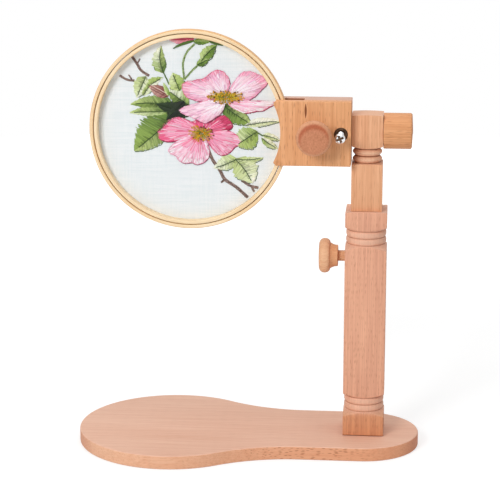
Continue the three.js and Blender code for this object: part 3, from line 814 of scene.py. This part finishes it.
def make_rear_jaw():
    low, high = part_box("rear_jaw")
    hoop_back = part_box("outer_ring")[1].y
    mouth_end = high.x - 44.2 * mm
    outside = Vector((HOLE_START, HOLE_START, HOLE_START))
    mouth = box_between(
        low - outside, (mouth_end, hoop_back + 0.3 * mm, high.z + HOLE_START),
    )
    bm = ease_edges(cut_away(raise_jaw(low, high), [mouth]), 0.7 * mm)
    middle, front = (low.z + high.z) / 2, low.y - HOLE_START
    bm = cut_away(bm, [
        drill_bit(4.5 * mm, AXIS["Y"], (middle_of("jaw_screw")[0], front, middle), 19.5 * mm),
        drill_bit(4.3 * mm, AXIS["Y"], (middle_of("jaw_bolt")[0], front, middle), 10.3 * mm),
        drill_bit(4.3 * mm, -AXIS["X"], (high.x + HOLE_START, 0, middle), 19.3 * mm),
    ])

    def mouth_shade_and_grey_ends(shader, place, body):
        """Painted shade darkens the mouth that takes the hoop; the end grain on top is greyer."""
        x, y, _ = shader.xyz(place)
        hollow_shade = shader.times(
            shader.between(x, mouth_end + 0.2 * mm, mouth_end + 0.1 * mm),
            shader.between(y, hoop_back + 0.5 * mm, hoop_back + 0.4 * mm),
        )
        body = shader.mix(shader.times(end_grain(shader, "Z"), 0.6), body, "ccad9f")
        # Painted shade inside the mouth.
        return stain_and_shade(shader, body, hollow_shade, "a37f66")

    wood = beech("rear_jaw_beech", "f0b994", "d3997a", "Z", (0.08, 0.01, 0.05), 0.7, (3, 0.4, 0.3),
                 mouth_shade_and_grey_ends, 0.2)
    finish_piece("rear_jaw_shaped", bm, wood, "clamp", "rear_jaw")


def make_front_jaw():
    low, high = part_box("front_jaw")
    bm = ease_edges(raise_jaw(low, high), 0.7 * mm)
    screw_x, bolt_x = middle_of("jaw_screw")[0], middle_of("jaw_bolt")[0]
    middle, front = (low.z + high.z) / 2, low.y - HOLE_START
    pocket = 6.5 * mm
    bm = cut_away(bm, [
        drill_bit(4.5 * mm, AXIS["Y"], (screw_x, front, middle), 20 * mm),
        drill_bit(3.1 * mm, AXIS["Y"], (bolt_x, front, middle), 20 * mm),
        drill_bit(pocket, AXIS["Y"], (bolt_x, front, middle), 7 * mm, 64),
    ])

    def streak_and_pocket_shade(shader, place, body):
        """A bark streak beside the knob, and painted shade in the bolt's counterbore."""
        streak_place = (screw_x - 8.9 * mm, high.z - 8.6 * mm)
        body = bark_streak(shader, place, body, streak_place, 14.5 * mm, 2.3 * mm)
        # Painted shade inside the counterbore.
        hollow_shade = near_axis(shader, place, (bolt_x, middle), pocket + 0.05 * mm)
        return stain_and_shade(shader, body, hollow_shade, "c0a080")

    wood = beech("front_jaw_beech", "efb382", "d3915e", "Z", (0.11, 0.02, 0.3), 0.66,
                 (4, 0.5, 0.42), streak_and_pocket_shade, 0.05)
    finish_piece("front_jaw_shaped", bm, wood, "front_jaw", "front_jaw")


def make_jaw_bolt(bright, black):
    """A bright cross-head bolt that stands proud of the jaw, and its washer in the pocket; dark
    steel paints their shade.
    """
    low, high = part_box("jaw_bolt")
    x, _, z = middle_of("jaw_bolt")
    head, head_height = 4.8 * mm, 3.8 * mm
    shank, length, groove = 2.8 * mm, high.y - low.y, 0.45 * mm
    pitch = 1.0 * mm
    turns = int((length - 14 * mm) / pitch)
    line = [(0, 0), (shank - 0.5 * mm, 0)]
    for turn in range(turns):
        line += [(shank, (turn + 0.5) * pitch), (shank - groove, (turn + 1) * pitch)]
    line += [(shank, turns * pitch + 0.5 * mm)]
    line += fillet([
        (shank, length - head_height - 1 * mm, 0),
        (shank, length - head_height, 0.4 * mm),
        (head, length - head_height, 0.3 * mm),
        (head, length - 2.1 * mm, 1.0 * mm),
        (3.1 * mm, length - 0.3 * mm, 1.2 * mm),
        (0, length, 0),
    ])
    floor, top = length - 2.8 * mm, length + 1 * mm
    arm = (3.5 * mm, 1.1 * mm)
    bm = cut_away(turn_on_lathe(line, 48), [
        box_between((-a, -b, floor), (a, b, top)) for a, b in (arm, arm[::-1])
    ])
    # The cross recess's faces take the dark steel: painted shade in the recess.
    for face in bm.faces:
        middle = face.calc_center_median()
        in_cross = max(abs(middle.x), abs(middle.y)) < arm[0] + 0.01 * mm
        sunk = in_cross and floor - 0.1 * mm < middle.z
        if sunk and (abs(face.normal.z) < 0.1 or middle.z < floor + 0.1 * mm):
            face.material_index = 1
    rotate(bm, math.radians(24), "Z")
    point_along(bm, (0, -1, 0), (x, high.y, z))
    bolt = finish_piece("jaw_bolt_steel", bm, bright, "clamp", "jaw_bolt")
    bolt.data.materials.append(black)

    low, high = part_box("jaw_washer")
    inner, outer, thickness = 3.1 * mm, (high.x - low.x) / 2, high.y - low.y
    inner_easing, outer_easing = 0.15 * mm, 0.3 * mm
    ring = fillet([
        (inner, 0, inner_easing),
        (outer, 0, outer_easing),
        (outer, thickness, outer_easing),
        (inner, thickness, inner_easing),
    ], closed=True, steps=3)
    bm = point_along(turn_on_lathe(ring, 64, closed=True), (0, -1, 0), (x, high.y, z))
    # The washer is dark steel as painted shade in the pocket.
    finish_piece("jaw_washer_steel", bm, black, "front_jaw", "jaw_washer")


# ------------------------------------------------------------------ hoop

def hoop_ring(inner, outer, front, back, easing, sweep, start, centre):
    """One ring of the hoop about the Y axis, from its front to its back."""
    line = fillet([
        (inner, -back, easing), (outer, -back, easing),
        (outer, -front, easing), (inner, -front, easing),
    ], closed=True, steps=4)
    bm = turn_on_lathe(line, 256, True, sweep, start)
    return point_along(bm, (0, -1, 0), (centre.x, 0, centre.z))


def make_hoop(centre, wood):
    low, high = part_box("outer_ring")
    outer = centre.x - low.x
    split = 4 * mm / outer
    # The spin axis comes to lie along -Y, and angle 0 stays at +X, where the ring is split.
    sweep = 2 * math.pi - split
    bm = hoop_ring(outer - 3.2 * mm, outer, low.y, high.y, 0.8 * mm, sweep, split / 2, centre)
    finish_piece("outer_hoop", bm, wood, "hoop", "outer_ring")
    low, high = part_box("inner_ring")
    outer = (high.x - low.x) / 2
    bm = hoop_ring(outer - 3.5 * mm, outer, low.y, high.y, 0.9 * mm, 2 * math.pi, 0, centre)
    finish_piece("inner_hoop", bm, wood, "hoop", "inner_ring")


def make_cloth(centre):
    """Cotton stretched over the back of the inner ring, its edge gripped between the rings."""
    ring_low, ring_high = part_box("inner_ring")
    radius = (ring_high.x - ring_low.x) / 2 + 0.4 * mm
    back = ring_high.y + CLOTH_SEAT
    edge = ring_low.y + 4.5 * mm
    bend = 0.7 * mm
    line = [(radius * i / 24, -back) for i in range(24)]
    line += fillet([(radius * 0.97, -back, 0), (radius, -back, bend), (radius, -edge, 0)], steps=5)
    bm = turn_on_lathe(line, 160)
    point_along(bm, (0, -1, 0), (centre.x, 0, centre.z))
    cloth = finish_piece("cloth", bm, cotton("cotton_cloth"), "hoop", "fabric", 60)
    solid = cloth.modifiers.new("thickness", "SOLIDIFY")
    solid.thickness = CLOTH_THICKNESS
    solid.offset = 0


# ------------------------------------------------------------------ embroidery
# Worked in millimetres on the cloth: x to the right, y up, from the middle of the hoop.

STRAND_HEIGHT = 0.55
STITCH_SPACING = 0.5


class Needlework:
    """Lays stitches on the cloth as copies of one strand."""

    def __init__(self, centre, surface, seed):
        self.rand = random.Random(seed)
        self.frame = Matrix((
            (mm, 0, 0, centre.x),
            (0, 0, -mm, surface),
            (0, mm, 0, centre.z),
            (0, 0, 0, 1),
        ))
        self.strand = self.template(self.strand_shape())
        self.knot = self.template(self.knot_shape())
        self.cloth = bmesh.new()

    def strand_shape(self):
        """A strand 1 long, 1 wide and 1 high on the cloth, with ends that dip into it."""
        bm = bmesh.new()
        bmesh.ops.create_cone(bm, cap_ends=True, segments=6, radius1=0.5, radius2=0.5, depth=1)
        rotate(bm, math.pi / 2, "Y")
        move(bm, bm.verts, (0.5, 0, 0.35))
        for cut in (0.16, 0.84):
            geometry = bm.verts[:] + bm.edges[:] + bm.faces[:]
            bmesh.ops.bisect_plane(bm, geom=geometry, plane_co=(cut, 0, 0), plane_no=(1, 0, 0))
        ends = [v for v in bm.verts if abs(v.co.x - 0.5) > 0.45]
        bmesh.ops.scale(bm, verts=ends, vec=(1, 0.55, 0.55))
        move(bm, ends, (0, 0, -0.35))
        return bm

    def knot_shape(self):
        """A French knot 1 across, flattened on the cloth."""
        bm = bmesh.new()
        bmesh.ops.create_uvsphere(bm, u_segments=7, v_segments=4, radius=0.5)
        bmesh.ops.scale(bm, verts=bm.verts, vec=(1, 1, 0.8))
        move(bm, bm.verts, (0, 0, 0.3))
        return bm

    def template(self, bm):
        mesh = bpy.data.meshes.new("template")
        bm.to_mesh(mesh)
        bm.free()
        mesh.attributes.new("thread", "FLOAT_COLOR", "POINT")
        places = [0.0] * (3 * len(mesh.vertices))
        mesh.vertices.foreach_get("co", places)
        return mesh, places

    def put(self, template, matrix, tint):
        mesh, places = template
        mesh.vertices.foreach_set("co", places)
        mesh.transform(self.frame @ matrix)
        mesh.attributes["thread"].data.foreach_set("color", tint * len(mesh.vertices))
        self.cloth.from_mesh(mesh)

    def stitch(self, start, end, width, lift, tint, lift_end=None):
        """One straight stitch between two points, so far above the cloth."""
        lift_end = lift if lift_end is None else lift_end
        along = Vector((end[0] - start[0], end[1] - start[1], lift_end - lift))
        aside = Vector((-along.y, along.x, 0)).normalized() * width
        up = along.cross(aside).normalized() * STRAND_HEIGHT
        matrix = Matrix((along, aside, up)).transposed().to_4x4()
        matrix.translation = (start[0], start[1], lift)
        self.put(self.strand, matrix, tint)

    def french_knot(self, place, size, lift, tint):
        matrix = Matrix.Translation((*place, lift)) @ Matrix.Scale(size, 4)
        self.put(self.knot, matrix, tint)

    def draw(self, low, high):
        return self.rand.uniform(low, high)

    def vary(self, tint, spread=0.08):
        """The same floss with a lighter or darker cast."""
        change = 1 + self.draw(-spread, spread)
        return [min(1.0, c * change) for c in tint[:3]] + [1.0]

    def finish(self, name, material):
        bmesh.ops.recalc_face_normals(self.cloth, faces=self.cloth.faces)
        piece = finish_piece(name, self.cloth, material, "hoop", smooth=70)
        self.cloth = bmesh.new()
        return piece


def blend(first, second, share):
    return [a + (b - a) * share for a, b in zip(first, second)]


def spoke_at(turn):
    return Vector((math.cos(turn), math.sin(turn)))


def sideways(heading):
    return Vector((-heading.y, heading.x))


def blend_tints(stops, part):
    """The colour at part of the way along a list of (share, colour)."""
    for (low, first), (high, second) in zip(stops, stops[1:]):
        if part <= high:
            return blend(first, second, max(0.0, (part - low) / (high - low)))
    return list(stops[-1][1])


def reach_at(edge, angle):
    """How far a petal reaches at an angle, from its (angle, reach) points in order."""
    for (low, first), (high, second) in zip(edge, edge[1:]):
        if angle <= high:
            share = max(0.0, (angle - low) / (high - low))
            return first + (second - first) * (share ** 2 * (3 - 2 * share))
    return edge[-1][1]


def petal(work, base, edge, tints, lift=0.6, side=None, streak=None, rows=4, rim_tint=None):
    """A long-and-short petal: rows of stitches that fan out from its base to its edge.

    tints run from the base to the edge. side is the colour worked in towards both flanks, streak is
    (colour, share of stitches), and rim_tint is the colour of a line worked along the edge.
    """
    low, high = edge[0][0], edge[-1][0]
    stops = [(share, colour(code)) for share, code in tints]
    longest = max(reach for _, reach in edge)
    origin = Vector(base)
    inner, flank_start = 0.2, 0.72
    for row in range(rows):
        near = inner + (1 - inner) * row / rows
        far = inner + (1 - inner) * (row + 1) / rows
        last = row == rows - 1
        arc = math.radians(high - low) * longest * far
        count = max(4, int(arc / STITCH_SPACING))
        for i in range(count):
            part = (i + work.draw(0.2, 0.8)) / count
            angle = low + (high - low) * part
            reach = reach_at(edge, angle)
            if work.rand.random() > 0.3 + 0.8 * reach / longest:
                continue
            start = near - work.draw(0.3, 1.0) * (far - near)
            end = far + work.draw(-0.15, 0.45) * (far - near)
            if last:
                end = 1 + work.draw(-0.02, 0.02)
            start = max(inner * 0.6, start)
            middle = (start + end) / 2
            tint = blend_tints(stops, middle + work.draw(-0.08, 0.08))
            flank = abs(2 * part - 1)
            if side and flank > flank_start:
                tint = blend(tint, colour(side), min(1, (flank - flank_start) / 0.2) * 0.85)
            if streak and work.rand.random() < streak[1]:
                tint = blend(tint, colour(streak[0]), 0.75)
            elif work.rand.random() < 0.12:
                tint = blend(tint, colour("fffafc"), 0.5)
            dome = 0.9 * math.sin(math.pi * min(1, middle)) * math.cos((part - 0.5) * 2.6)
            height = lift + 0.07 * (rows - row) + dome + work.draw(0, 0.26)
            spoke = spoke_at(math.radians(angle))
            sway = sideways(spoke) * work.draw(-0.3, 0.3)
            first, second = origin + spoke * reach * start, origin + spoke * reach * end + sway
            width = work.draw(0.75, 0.98)
            tint = work.vary(tint, 0.16)
            work.stitch(first, second, width, height, tint, lift + 0.05 if last else height)
    angles = [low + (high - low) * i / 24 for i in range(25)]
    rim = [origin + spoke_at(math.radians(angle)) * reach_at(edge, angle) for angle in angles]
    if rim_tint:
        stem(work, rim, 0.55, (rim_tint, rim_tint), lift - 0.1)
    heart = sum(rim, Vector((0, 0))) / len(rim)
    # Painted shadow under the petal's lower right edges.
    painted_shadow_line(work, rim, heart, "7d2b49", lift - 0.25)


def painted_shadow_line(work, rim, middle, tint, lift):
    """Painted shadow: a dark line beside the parts of an edge that face down or right, so that it
    seems raised.
    """
    shift = Vector((0.35, -0.6))
    runs = [[]]
    for place in rim:
        if (place - middle).dot(shift) > 0.0:
            runs[-1].append(place + shift)
        elif runs[-1]:
            runs.append([])
    for path in runs:
        if len(path) > 2:
            stem(work, path, 0.6, (tint, tint), lift)


def curve_point(ends, bend, part):
    """A point and heading on the arc from one end to the other, bowed sideways by bend."""
    start, end = Vector(ends[0]), Vector(ends[1])
    chord = end - start
    middle = (start + end) / 2 + sideways(chord).normalized() * bend * 2
    place = start * (1 - part) ** 2 + middle * 2 * part * (1 - part) + end * part ** 2
    heading = ((middle - start) * (1 - part) + (end - middle) * part).normalized()
    return place, heading


def leaf(work, base, tip, width, tints, bend=0.0, fullest=0.42, vein="35522a", lift=0.15,
         teeth=0.13):
    """A satin-stitched leaf with a toothed edge and darker stitches beside its vein.

    width is the whole width, or each half's. tints are the base and tip colours of the half to the
    left of the way from base to tip, and then of the other half. fullest is where it is widest.
    """
    length = (Vector(tip) - Vector(base)).length
    count = max(8, int(length / STITCH_SPACING))
    halves = width if isinstance(width, tuple) else (width / 2, width / 2)
    bulge = math.log(0.5) / math.log(fullest)
    tooth_length = 4.2
    for sign, most, pair in ((1, halves[0], tints[:2]), (-1, halves[1], tints[2:])):
        first, second = (colour(code) for code in pair)
        veined = most > 2 and vein
        rim_line = []
        for i in range(count):
            part = (i + work.draw(-0.3, 0.3)) / count
            part = min(max(part, 0.0), 0.985)
            edge_part = min(1.0, part + 0.16 * (1 - part) + 0.02)
            swell = max(0.0, math.sin(math.pi * edge_part ** bulge)) ** 0.8
            notch = 1 - 2 * (edge_part * length / tooth_length % 1)
            tooth = teeth * notch + work.draw(-0.5, 0.5) * teeth
            half = most * swell * (1 + (tooth if most > 2 else 0))
            place, _ = curve_point((base, tip), bend, part)
            rim, heading = curve_point((base, tip), bend, edge_part)
            rim = rim + sideways(heading) * sign * half
            tint = blend(first, second, min(1, max(0, part + work.draw(-0.22, 0.22))))
            raised = lift + 0.35 + work.draw(0, 0.22)
            strand = work.draw(0.7, 0.92)
            work.stitch(place, rim, strand, raised, work.vary(tint, 0.16), lift)
            if i % 4 == 0:
                rim_line.append(rim)
            if veined and work.rand.random() < 0.5 * (1 - part):
                inner = place.lerp(rim, work.draw(0.25, 0.55))
                shade = [c * 0.55 for c in tint[:3]] + [1.0]
                work.stitch(place, inner, 0.6, raised + 0.25, work.vary(shade, 0.16), raised)
        if veined:
            heart = (Vector(base) + Vector(tip)) / 2
            # Painted shadow under the leaf's lower right edge.
            painted_shadow_line(work, rim_line, heart, "47632f", max(0.05, lift - 0.15))
    if vein:
        middle = curve_point((base, tip), bend, 0.5)[0]
        stem(work, [base, middle, tip], 0.5, (vein, vein), lift + 0.8, 0.9)


def stem(work, path, width, tints, lift=0.2, stop=1.0):
    """Stem stitch along a smooth path through a few points."""
    points = [Vector(p) for p in path]
    lengths = [(b - a).length for a, b in zip(points, points[1:])]
    total = sum(lengths)
    row_width, stitch_length, overlap = 0.55, 1.7, 0.45
    rows = max(1, round(width / row_width))
    count = max(3, int(total * stop / stitch_length))
    first, second = (colour(code) for code in tints)
    for row in range(rows):
        offset = (row - (rows - 1) / 2) * width / rows
        for i in range(count):
            here, heading = along_path(points, lengths, stop * i / count)
            there, _ = along_path(points, lengths, stop * min(1, (i + 1 + overlap) / count))
            aside = sideways(heading)
            tint = blend(first, second, work.rand.random())
            shift = aside * (offset + work.draw(-0.12, 0.12))
            start, end = here + shift - aside * 0.12, there + shift + aside * 0.12
            work.stitch(start, end, 0.6, lift, work.vary(tint))


def along_path(points, lengths, share):
    """A place and heading part of the way along points joined by a smooth curve."""
    goal = share * sum(lengths)
    i = 0
    while i < len(lengths) - 1 and goal > lengths[i]:
        goal -= lengths[i]
        i += 1
    t = min(1, goal / lengths[i])
    b, c = points[i], points[i + 1]
    a = points[i - 1] if i > 0 else b * 2 - c
    d = points[i + 2] if i + 2 < len(points) else c * 2 - b
    place = (
        b * 2 + (c - a) * t + (a * 2 - b * 5 + c * 4 - d) * t ** 2
        + (b * 3 - a - c * 3 + d) * t ** 3
    ) / 2
    return place, (c - b).normalized()


def stamens(work, heart, spread, count, lift):
    """A boss of straight filaments tipped with French knots round a green heart."""
    codes = ("c9ac2c", "dc9e1c", "5f3a10", "86862c")
    filament, gold, bronze, lime = (colour(code) for code in codes)
    middle = Vector(heart)
    for i in range(count):
        turn = 2 * math.pi * i / count + work.draw(-0.1, 0.1)
        reach = work.draw(0.55, 1.0)
        spoke = Vector((math.cos(turn) * spread[0], math.sin(turn) * spread[1]))
        end = middle + spoke * reach
        tint = work.vary(filament, 0.25)
        work.stitch(middle + spoke * 0.15, end, 0.5, lift + 0.3, tint, lift + 0.6)
        tint = gold if work.rand.random() < 0.68 else bronze
        work.french_knot(end, work.draw(1.1, 1.7), lift + 0.5, work.vary(tint, 0.2))
    for i in range(count // 2):
        turn = i * 2.4
        reach = 0.4 * math.sqrt(i / (count / 2))
        place = middle + Vector((math.cos(turn) * spread[0], math.sin(turn) * spread[1])) * reach
        tint = lime if work.rand.random() < 0.55 else gold
        work.french_knot(place, work.draw(1.0, 1.5), lift + 0.7, work.vary(tint, 0.2))


def work_foliage(work):
    """Leaves, from the ones that lie under the others to the ones on top."""
    black, deep, dark, mid = "10190c", "26391b", "587733", "99b35a"
    fresh, pale, cream = "c0d084", "dfe8bb", "f5f7e4"
    for row in (
        # The dark hollow behind the lower blossom.
        ((4, 16), (-27, 21), 15, (deep, dark, deep, deep), 0, 0.42, None),
        ((-4, 11), (-24, 15), 10, (deep, deep, deep, dark), 0, 0.42, None),
        # Left-hand group.
        ((-13, 21.5), (-56, 22.5), (6.0, 7.0), (deep, mid, dark, fresh), -2),
        ((-15, 16), (-57, 14.5), (4.5, 6.0), (mid, pale, dark, fresh), -0.5),
        ((-13, 14), (-53, -22), (10.5, 17), (dark, fresh, dark, mid), 1.0, 0.5),
        ((-41, 49), (-50, 29), (6, 8), (pale, cream, fresh, pale), 0),
        ((-44, 31), (-25, 48), (5.5, 4.5), (fresh, mid, pale, cream), 2.5),
        ((-9.5, 36), (-16, 52.5), 15, (fresh, pale, mid, fresh), 0),
        ((-1, 22.5), (-20.5, 36), (7, 7.5), (deep, mid, mid, cream), 0),
        ((-24.5, 52.5), (-26.5, 77.5), (7.5, 5), (mid, cream, dark, fresh), 2.2),
        # The hollow between them, in the darkest green.
        ((-2, 15), (-31, 23), (7, 6.5), (black, deep, black, deep), 0, 0.42, None, 0.8),
        ((-5, 26), (-22, 8.5), (5.5, 5), (black, black, black, deep), 0, 0.42, None, 0.9),
        # Right-hand group.
        ((31, 23), (57.5, 5.5), (8, 9), (dark, fresh, dark, mid), -0.6),
        ((52, 4), (85, 8.5), (4.4, 3.4), (cream, cream, pale, pale), 0.8),
        ((63.5, -1.5), (43.5, -15), (11, 10.5), (mid, fresh, mid, pale), 0, 0.5),
        ((68.5, -5.0), (84.5, -9.5), 6.2, (pale, cream, fresh, pale), 0.6),
        ((67.5, -7.5), (82.5, -17.5), 7.4, (cream, pale, mid, pale), -0.6),
        ((44.5, -28), (22, -37), (5.5, 8), (fresh, cream, fresh, cream), 1),
        ((43.5, -28.5), (69, -26.5), (2.4, 3.8), (fresh, pale, pale, fresh), -1),
        ((42.5, -28), (59, -51), (12, 11), (fresh, cream, fresh, pale), 1.5, 0.48),
    ):
        leaf(work, *row)


def work_stems(work):
    """The brown branches and the green stalks."""
    bark, stalk, twig = ("553c33", "ab9086"), ("567434", "b4c888"), ("567434", "567434")
    branch = [(17, -19), (21.5, -30), (27, -37), (32.5, -47.5), (44, -55.5), (54.5, -65)]
    for row in (
        (branch, 3.0, bark, 0.15),
        ([(33, -48), (29.0, -51)], 1.8, bark, 0.3),
        ([(48.5, -48.5), (56.5, -53.5), (64.5, -55.5)], 2.4, bark, 0.15),
        ([(58, -54.5), (60.5, -59.5)], 1.9, bark, 0.15),
        ([(-55, 69), (-49.5, 61), (-45.5, 54.5), (-38, 49.5)], 2.4, bark, 0.15),
        ([(-46.5, 65.5), (-49.5, 60)], 1.3, bark, 0.2),
        ([(-66, 49.5), (-58.5, 45.5), (-52, 45)], 2.1, bark, 0.15),
        ([(-57.5, 50.5), (-54.5, 46)], 1.3, bark, 0.2),
        ([(5, 80), (-2.5, 72), (-6.2, 61), (-5, 47)], 1.8, stalk, 0.2),
        ([(8.5, 60.5), (2, 54.5), (-5, 46.5)], 1.7, stalk, 0.2),
        ([(-24.5, 53), (-19.5, 42)], 1.3, twig, 0.2),
        ([(62.5, -2), (69, -6)], 1.2, twig, 0.2),
    ):
        stem(work, *row)


def work_buds(work):
    rose, deep_rose, blush = "e2567a", "b52f52", "f3b9c4"
    green, mid, fresh = "4d6c2a", "86a548", "c9da94"
    # Bud that leans over the top edge of the hoop.
    leaf(work, (5, 86), (-19.5, 84), 8.5, (rose, blush, deep_rose, rose), 1.5, 0.42, None, 0.4)
    leaf(work, (4.5, 83), (-15, 75.5), 2.8, (green, green, green, green), -1, 0.42, None, 0.6)
    leaf(work, (4, 82), (20, 82.5), 6, (mid, fresh, green, mid), 0, 0.42, None, 0.5)
    leaf(work, (18, 83), (31.5, 79), 2.2, (green, green, green, green), -0.5, 0.42, None, 0.4)
    # Closed green bud on its own stalk.
    leaf(work, (11, 64), (25.5, 79), 11, (fresh, mid, mid, green), 1, 0.42, "34511f", 0.4)
    leaf(work, (7, 60.5), (18, 66), 7, (mid, fresh, green, mid), 0, 0.42, "34511f", 0.6)
    # Russet bud tucked in the left-hand leaves, banded pale and brown.
    russet = ("8c4a44", "e0b9ac", "6f3532", "c48f80")
    leaf(work, (-20, 31), (-38.5, 40), 11, russet, 0, 0.42, None, 0.6, 0.05)
    stem(work, [(-21, 33), (-37, 41.5)], 0.6, ("f0dcd2", "e7cfc4"), 1.2)
    stem(work, [(-21, 30), (-36.5, 37.5)], 0.6, ("6b3431", "5b2a29"), 1.2)
    leaf(work, (-20, 31.5), (-24.5, 43), 4, (fresh, fresh, mid, fresh), 0, 0.42, None, 0.9)


def work_blossoms(work):
    white, blush, pink, rose, hot, deep = "fffafc", "fff0f5", "fdd0e0", "f49cbc", "e75984", "bf2c57"
    candy, lilac, plum = "f8b6cd", "e3a4c8", "a8204a"
    upper, lower = (33.7, 31.0), (11.6, -3.0)

    # Lower blossom, worked first because the upper one lies over it.
    petal(work, lower, [(44, 14), (60, 13), (90, 12), (120, 13), (150, 15)],
          [(0, rose), (0.6, hot), (1, deep)], 0.3, deep, (hot, 0.3), 3)
    petal(work, (12.7, -2.0),
          [(2, 13), (5, 26), (11, 28.2), (20, 27.5), (29, 26.6), (36, 25.5), (41, 23), (46, 16),
           (52, 9)],
          [(0, pink), (0.35, rose), (0.6, hot), (1, deep)], 0.5, deep, (deep, 0.35), 3, plum)
    petal(work, (13.8, -3.7),
          [(-70, 8), (-65, 15), (-60, 21.8), (-52.5, 26.7), (-42, 29.2), (-32, 30.3), (-24, 31),
           (-18, 35), (-12.5, 35.4), (-7, 32.6), (1, 27), (6, 22), (12, 16), (17, 9)],
          [(0, hot), (0.35, rose), (0.6, candy), (0.8, candy), (0.92, rose), (1, hot)],
          0.5, hot, (hot, 0.2), rim_tint=hot)
    petal(work, (11.6, -2.0),
          [(138, 10), (143, 16), (146, 22), (152, 29.3), (158, 32.5), (167, 35.4), (174, 38.2),
           (183, 42.7), (190, 41.8), (196, 37.5), (200, 30), (203, 20), (206, 10)],
          [(0, pink), (0.3, rose), (0.6, candy), (0.75, rose), (0.9, hot), (1, deep)],
          0.6, hot, (hot, 0.35), rim_tint=plum)
    petal(work, (9.4, -5.2),
          [(178, 11), (190, 17.6), (197, 22.6), (203, 28.3), (207, 33.5), (214, 33.9), (222, 30.7),
           (230, 32.3), (241, 31.5), (254, 27.8), (263, 29), (274, 27.3), (288, 24), (298, 18.5),
           (309, 12), (316, 8)],
          [(0, "d8452e"), (0.3, "e0555a"), (0.44, rose), (0.62, pink), (0.9, blush), (1, rose)],
          0.8, blush, (rose, 0.3), rim_tint=rose)
    stamens(work, (10.8, -4.0), (12.6, 8.2), 50, 1.9)

    # Upper blossom.
    petal(work, (34.3, 25.7),
          [(-40, 8), (-35, 14), (-30, 20), (-23, 24), (-17, 28.4), (-11, 36.3), (-5.4, 40.3),
           (-2, 44.8), (1.4, 44.5), (3, 30), (6, 18), (12, 8)],
          [(0, rose), (0.4, pink), (0.75, blush), (1, white)], 0.6, rose, (rose, 0.3), rim_tint=hot)
    petal(work, (35.4, 30.6),
          [(-12, 18), (-3, 22), (4.6, 27.2), (13.5, 32.3), (18, 38.6), (22, 40.6), (30, 38.8),
           (39, 35), (46.5, 33), (56, 29), (61, 24.5), (65, 16), (72, 8)],
          [(0, rose), (0.3, blush), (0.7, pink), (0.9, rose), (1, hot)],
          0.7, rose, (lilac, 0.2), rim_tint=rose)
    petal(work, (33.8, 31.7),
          [(70, 12), (85, 18.5), (97, 23), (109, 25.4), (125, 25.4), (135, 25), (144, 26.3),
           (154, 32), (160, 38.5), (166, 41.9), (173, 40.8), (181, 37.5), (190, 29), (198, 14)],
          [(0, pink), (0.3, blush), (0.62, pink), (0.84, candy), (1, hot)],
          0.7, rose, (lilac, 0.2), 5, rim_tint=hot)
    petal(work, (33.8, 26.3),
          [(174, 9), (177, 17), (183, 24.5), (186, 33), (188.5, 41), (191.5, 44.6), (197, 41.3),
           (205, 35.2), (215, 31.1), (227, 28.4), (231, 23), (239, 15.8), (253, 8)],
          [(0, white), (0.35, blush), (0.65, pink), (0.9, pink), (1, rose)],
          1.7, blush, (lilac, 0.16), 5, rim_tint=rose)
    stamens(work, upper, (17.6, 7.0), 70, 2.3)


def make_embroidery(centre, surface):
    material = floss("cotton_floss")
    work = Needlework(centre, surface, 11)
    made = []
    for name, job in (
        ("stitched_leaves", work_foliage), ("stitched_stems", work_stems),
        ("stitched_buds", work_buds), ("stitched_blossoms", work_blossoms),
    ):
        job(work)
        made.append(work.finish(name, material))
    return made


# ------------------------------------------------------------------ CAD nodes that stay

def finish_frame_nodes(steel, brass):
    """The nodes whose shape is right keep it, and get a proper finish."""
    rod_wood = beech("rod_beech", "ecbd96", "d9a07a", "Z", (0.2, 0.02, 0.1), 0.8)
    height_wood, jaw_wood = (
        beech(node + "_beech", "eab88e", "d39a70", along, (0.1, 0.05, 0.0))
        for node, along in (("height_screw", "X"), ("jaw_screw", "Y"))
    )
    for material, nodes in (
        (rod_wood, "height_rod post_dowel"),
        (height_wood, "height_screw"),
        (jaw_wood, "jaw_screw"),
        (steel, "base_bolt base_washer tilt_stud"),
        (brass, "post_insert jaw_insert tilt_insert hoop_screw hoop_nut"),
        (brass, "upper_bracket lower_bracket upper_rivet lower_rivet"),
    ):
        for name in nodes.split():
            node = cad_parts[name]
            node.data.materials.clear()
            node.data.materials.append(material)


# ------------------------------------------------------------------ everything together

make_camera()
make_studio()

steel = metal("zinc_steel", "d9dcdf", "aeb3b8", 0.26)
brass = metal("brass", "d8b468", "b28a42", 0.32)
make_board()
make_lower_post()
make_head_post()
make_knobs()
make_rear_jaw()
make_front_jaw()
bright_zinc = metal("bright_zinc", "f2f3f4", "c9ccd0", 0.16)
# A dark brown steel that paints the shade in the bolt's pocket and cross recess.
shade_steel = metal("shade_steel", "7f6450", "4b392c", 0.4)
make_jaw_bolt(bright_zinc, shade_steel)

ring_low, ring_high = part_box("inner_ring")
hoop_centre = (ring_low + ring_high) / 2
hoop_radius = hoop_centre.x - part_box("outer_ring")[0].x
pale_wood = hoop_wood("pale_hoop_wood", "f9e3be", "f0cc9c", hoop_centre, hoop_radius)
make_hoop(hoop_centre, pale_wood)
cloth_front = ring_high.y + CLOTH_SEAT - CLOTH_THICKNESS / 2
stitching = make_embroidery(hoop_centre, cloth_front)
make_cloth(hoop_centre)
finish_frame_nodes(steel, brass)
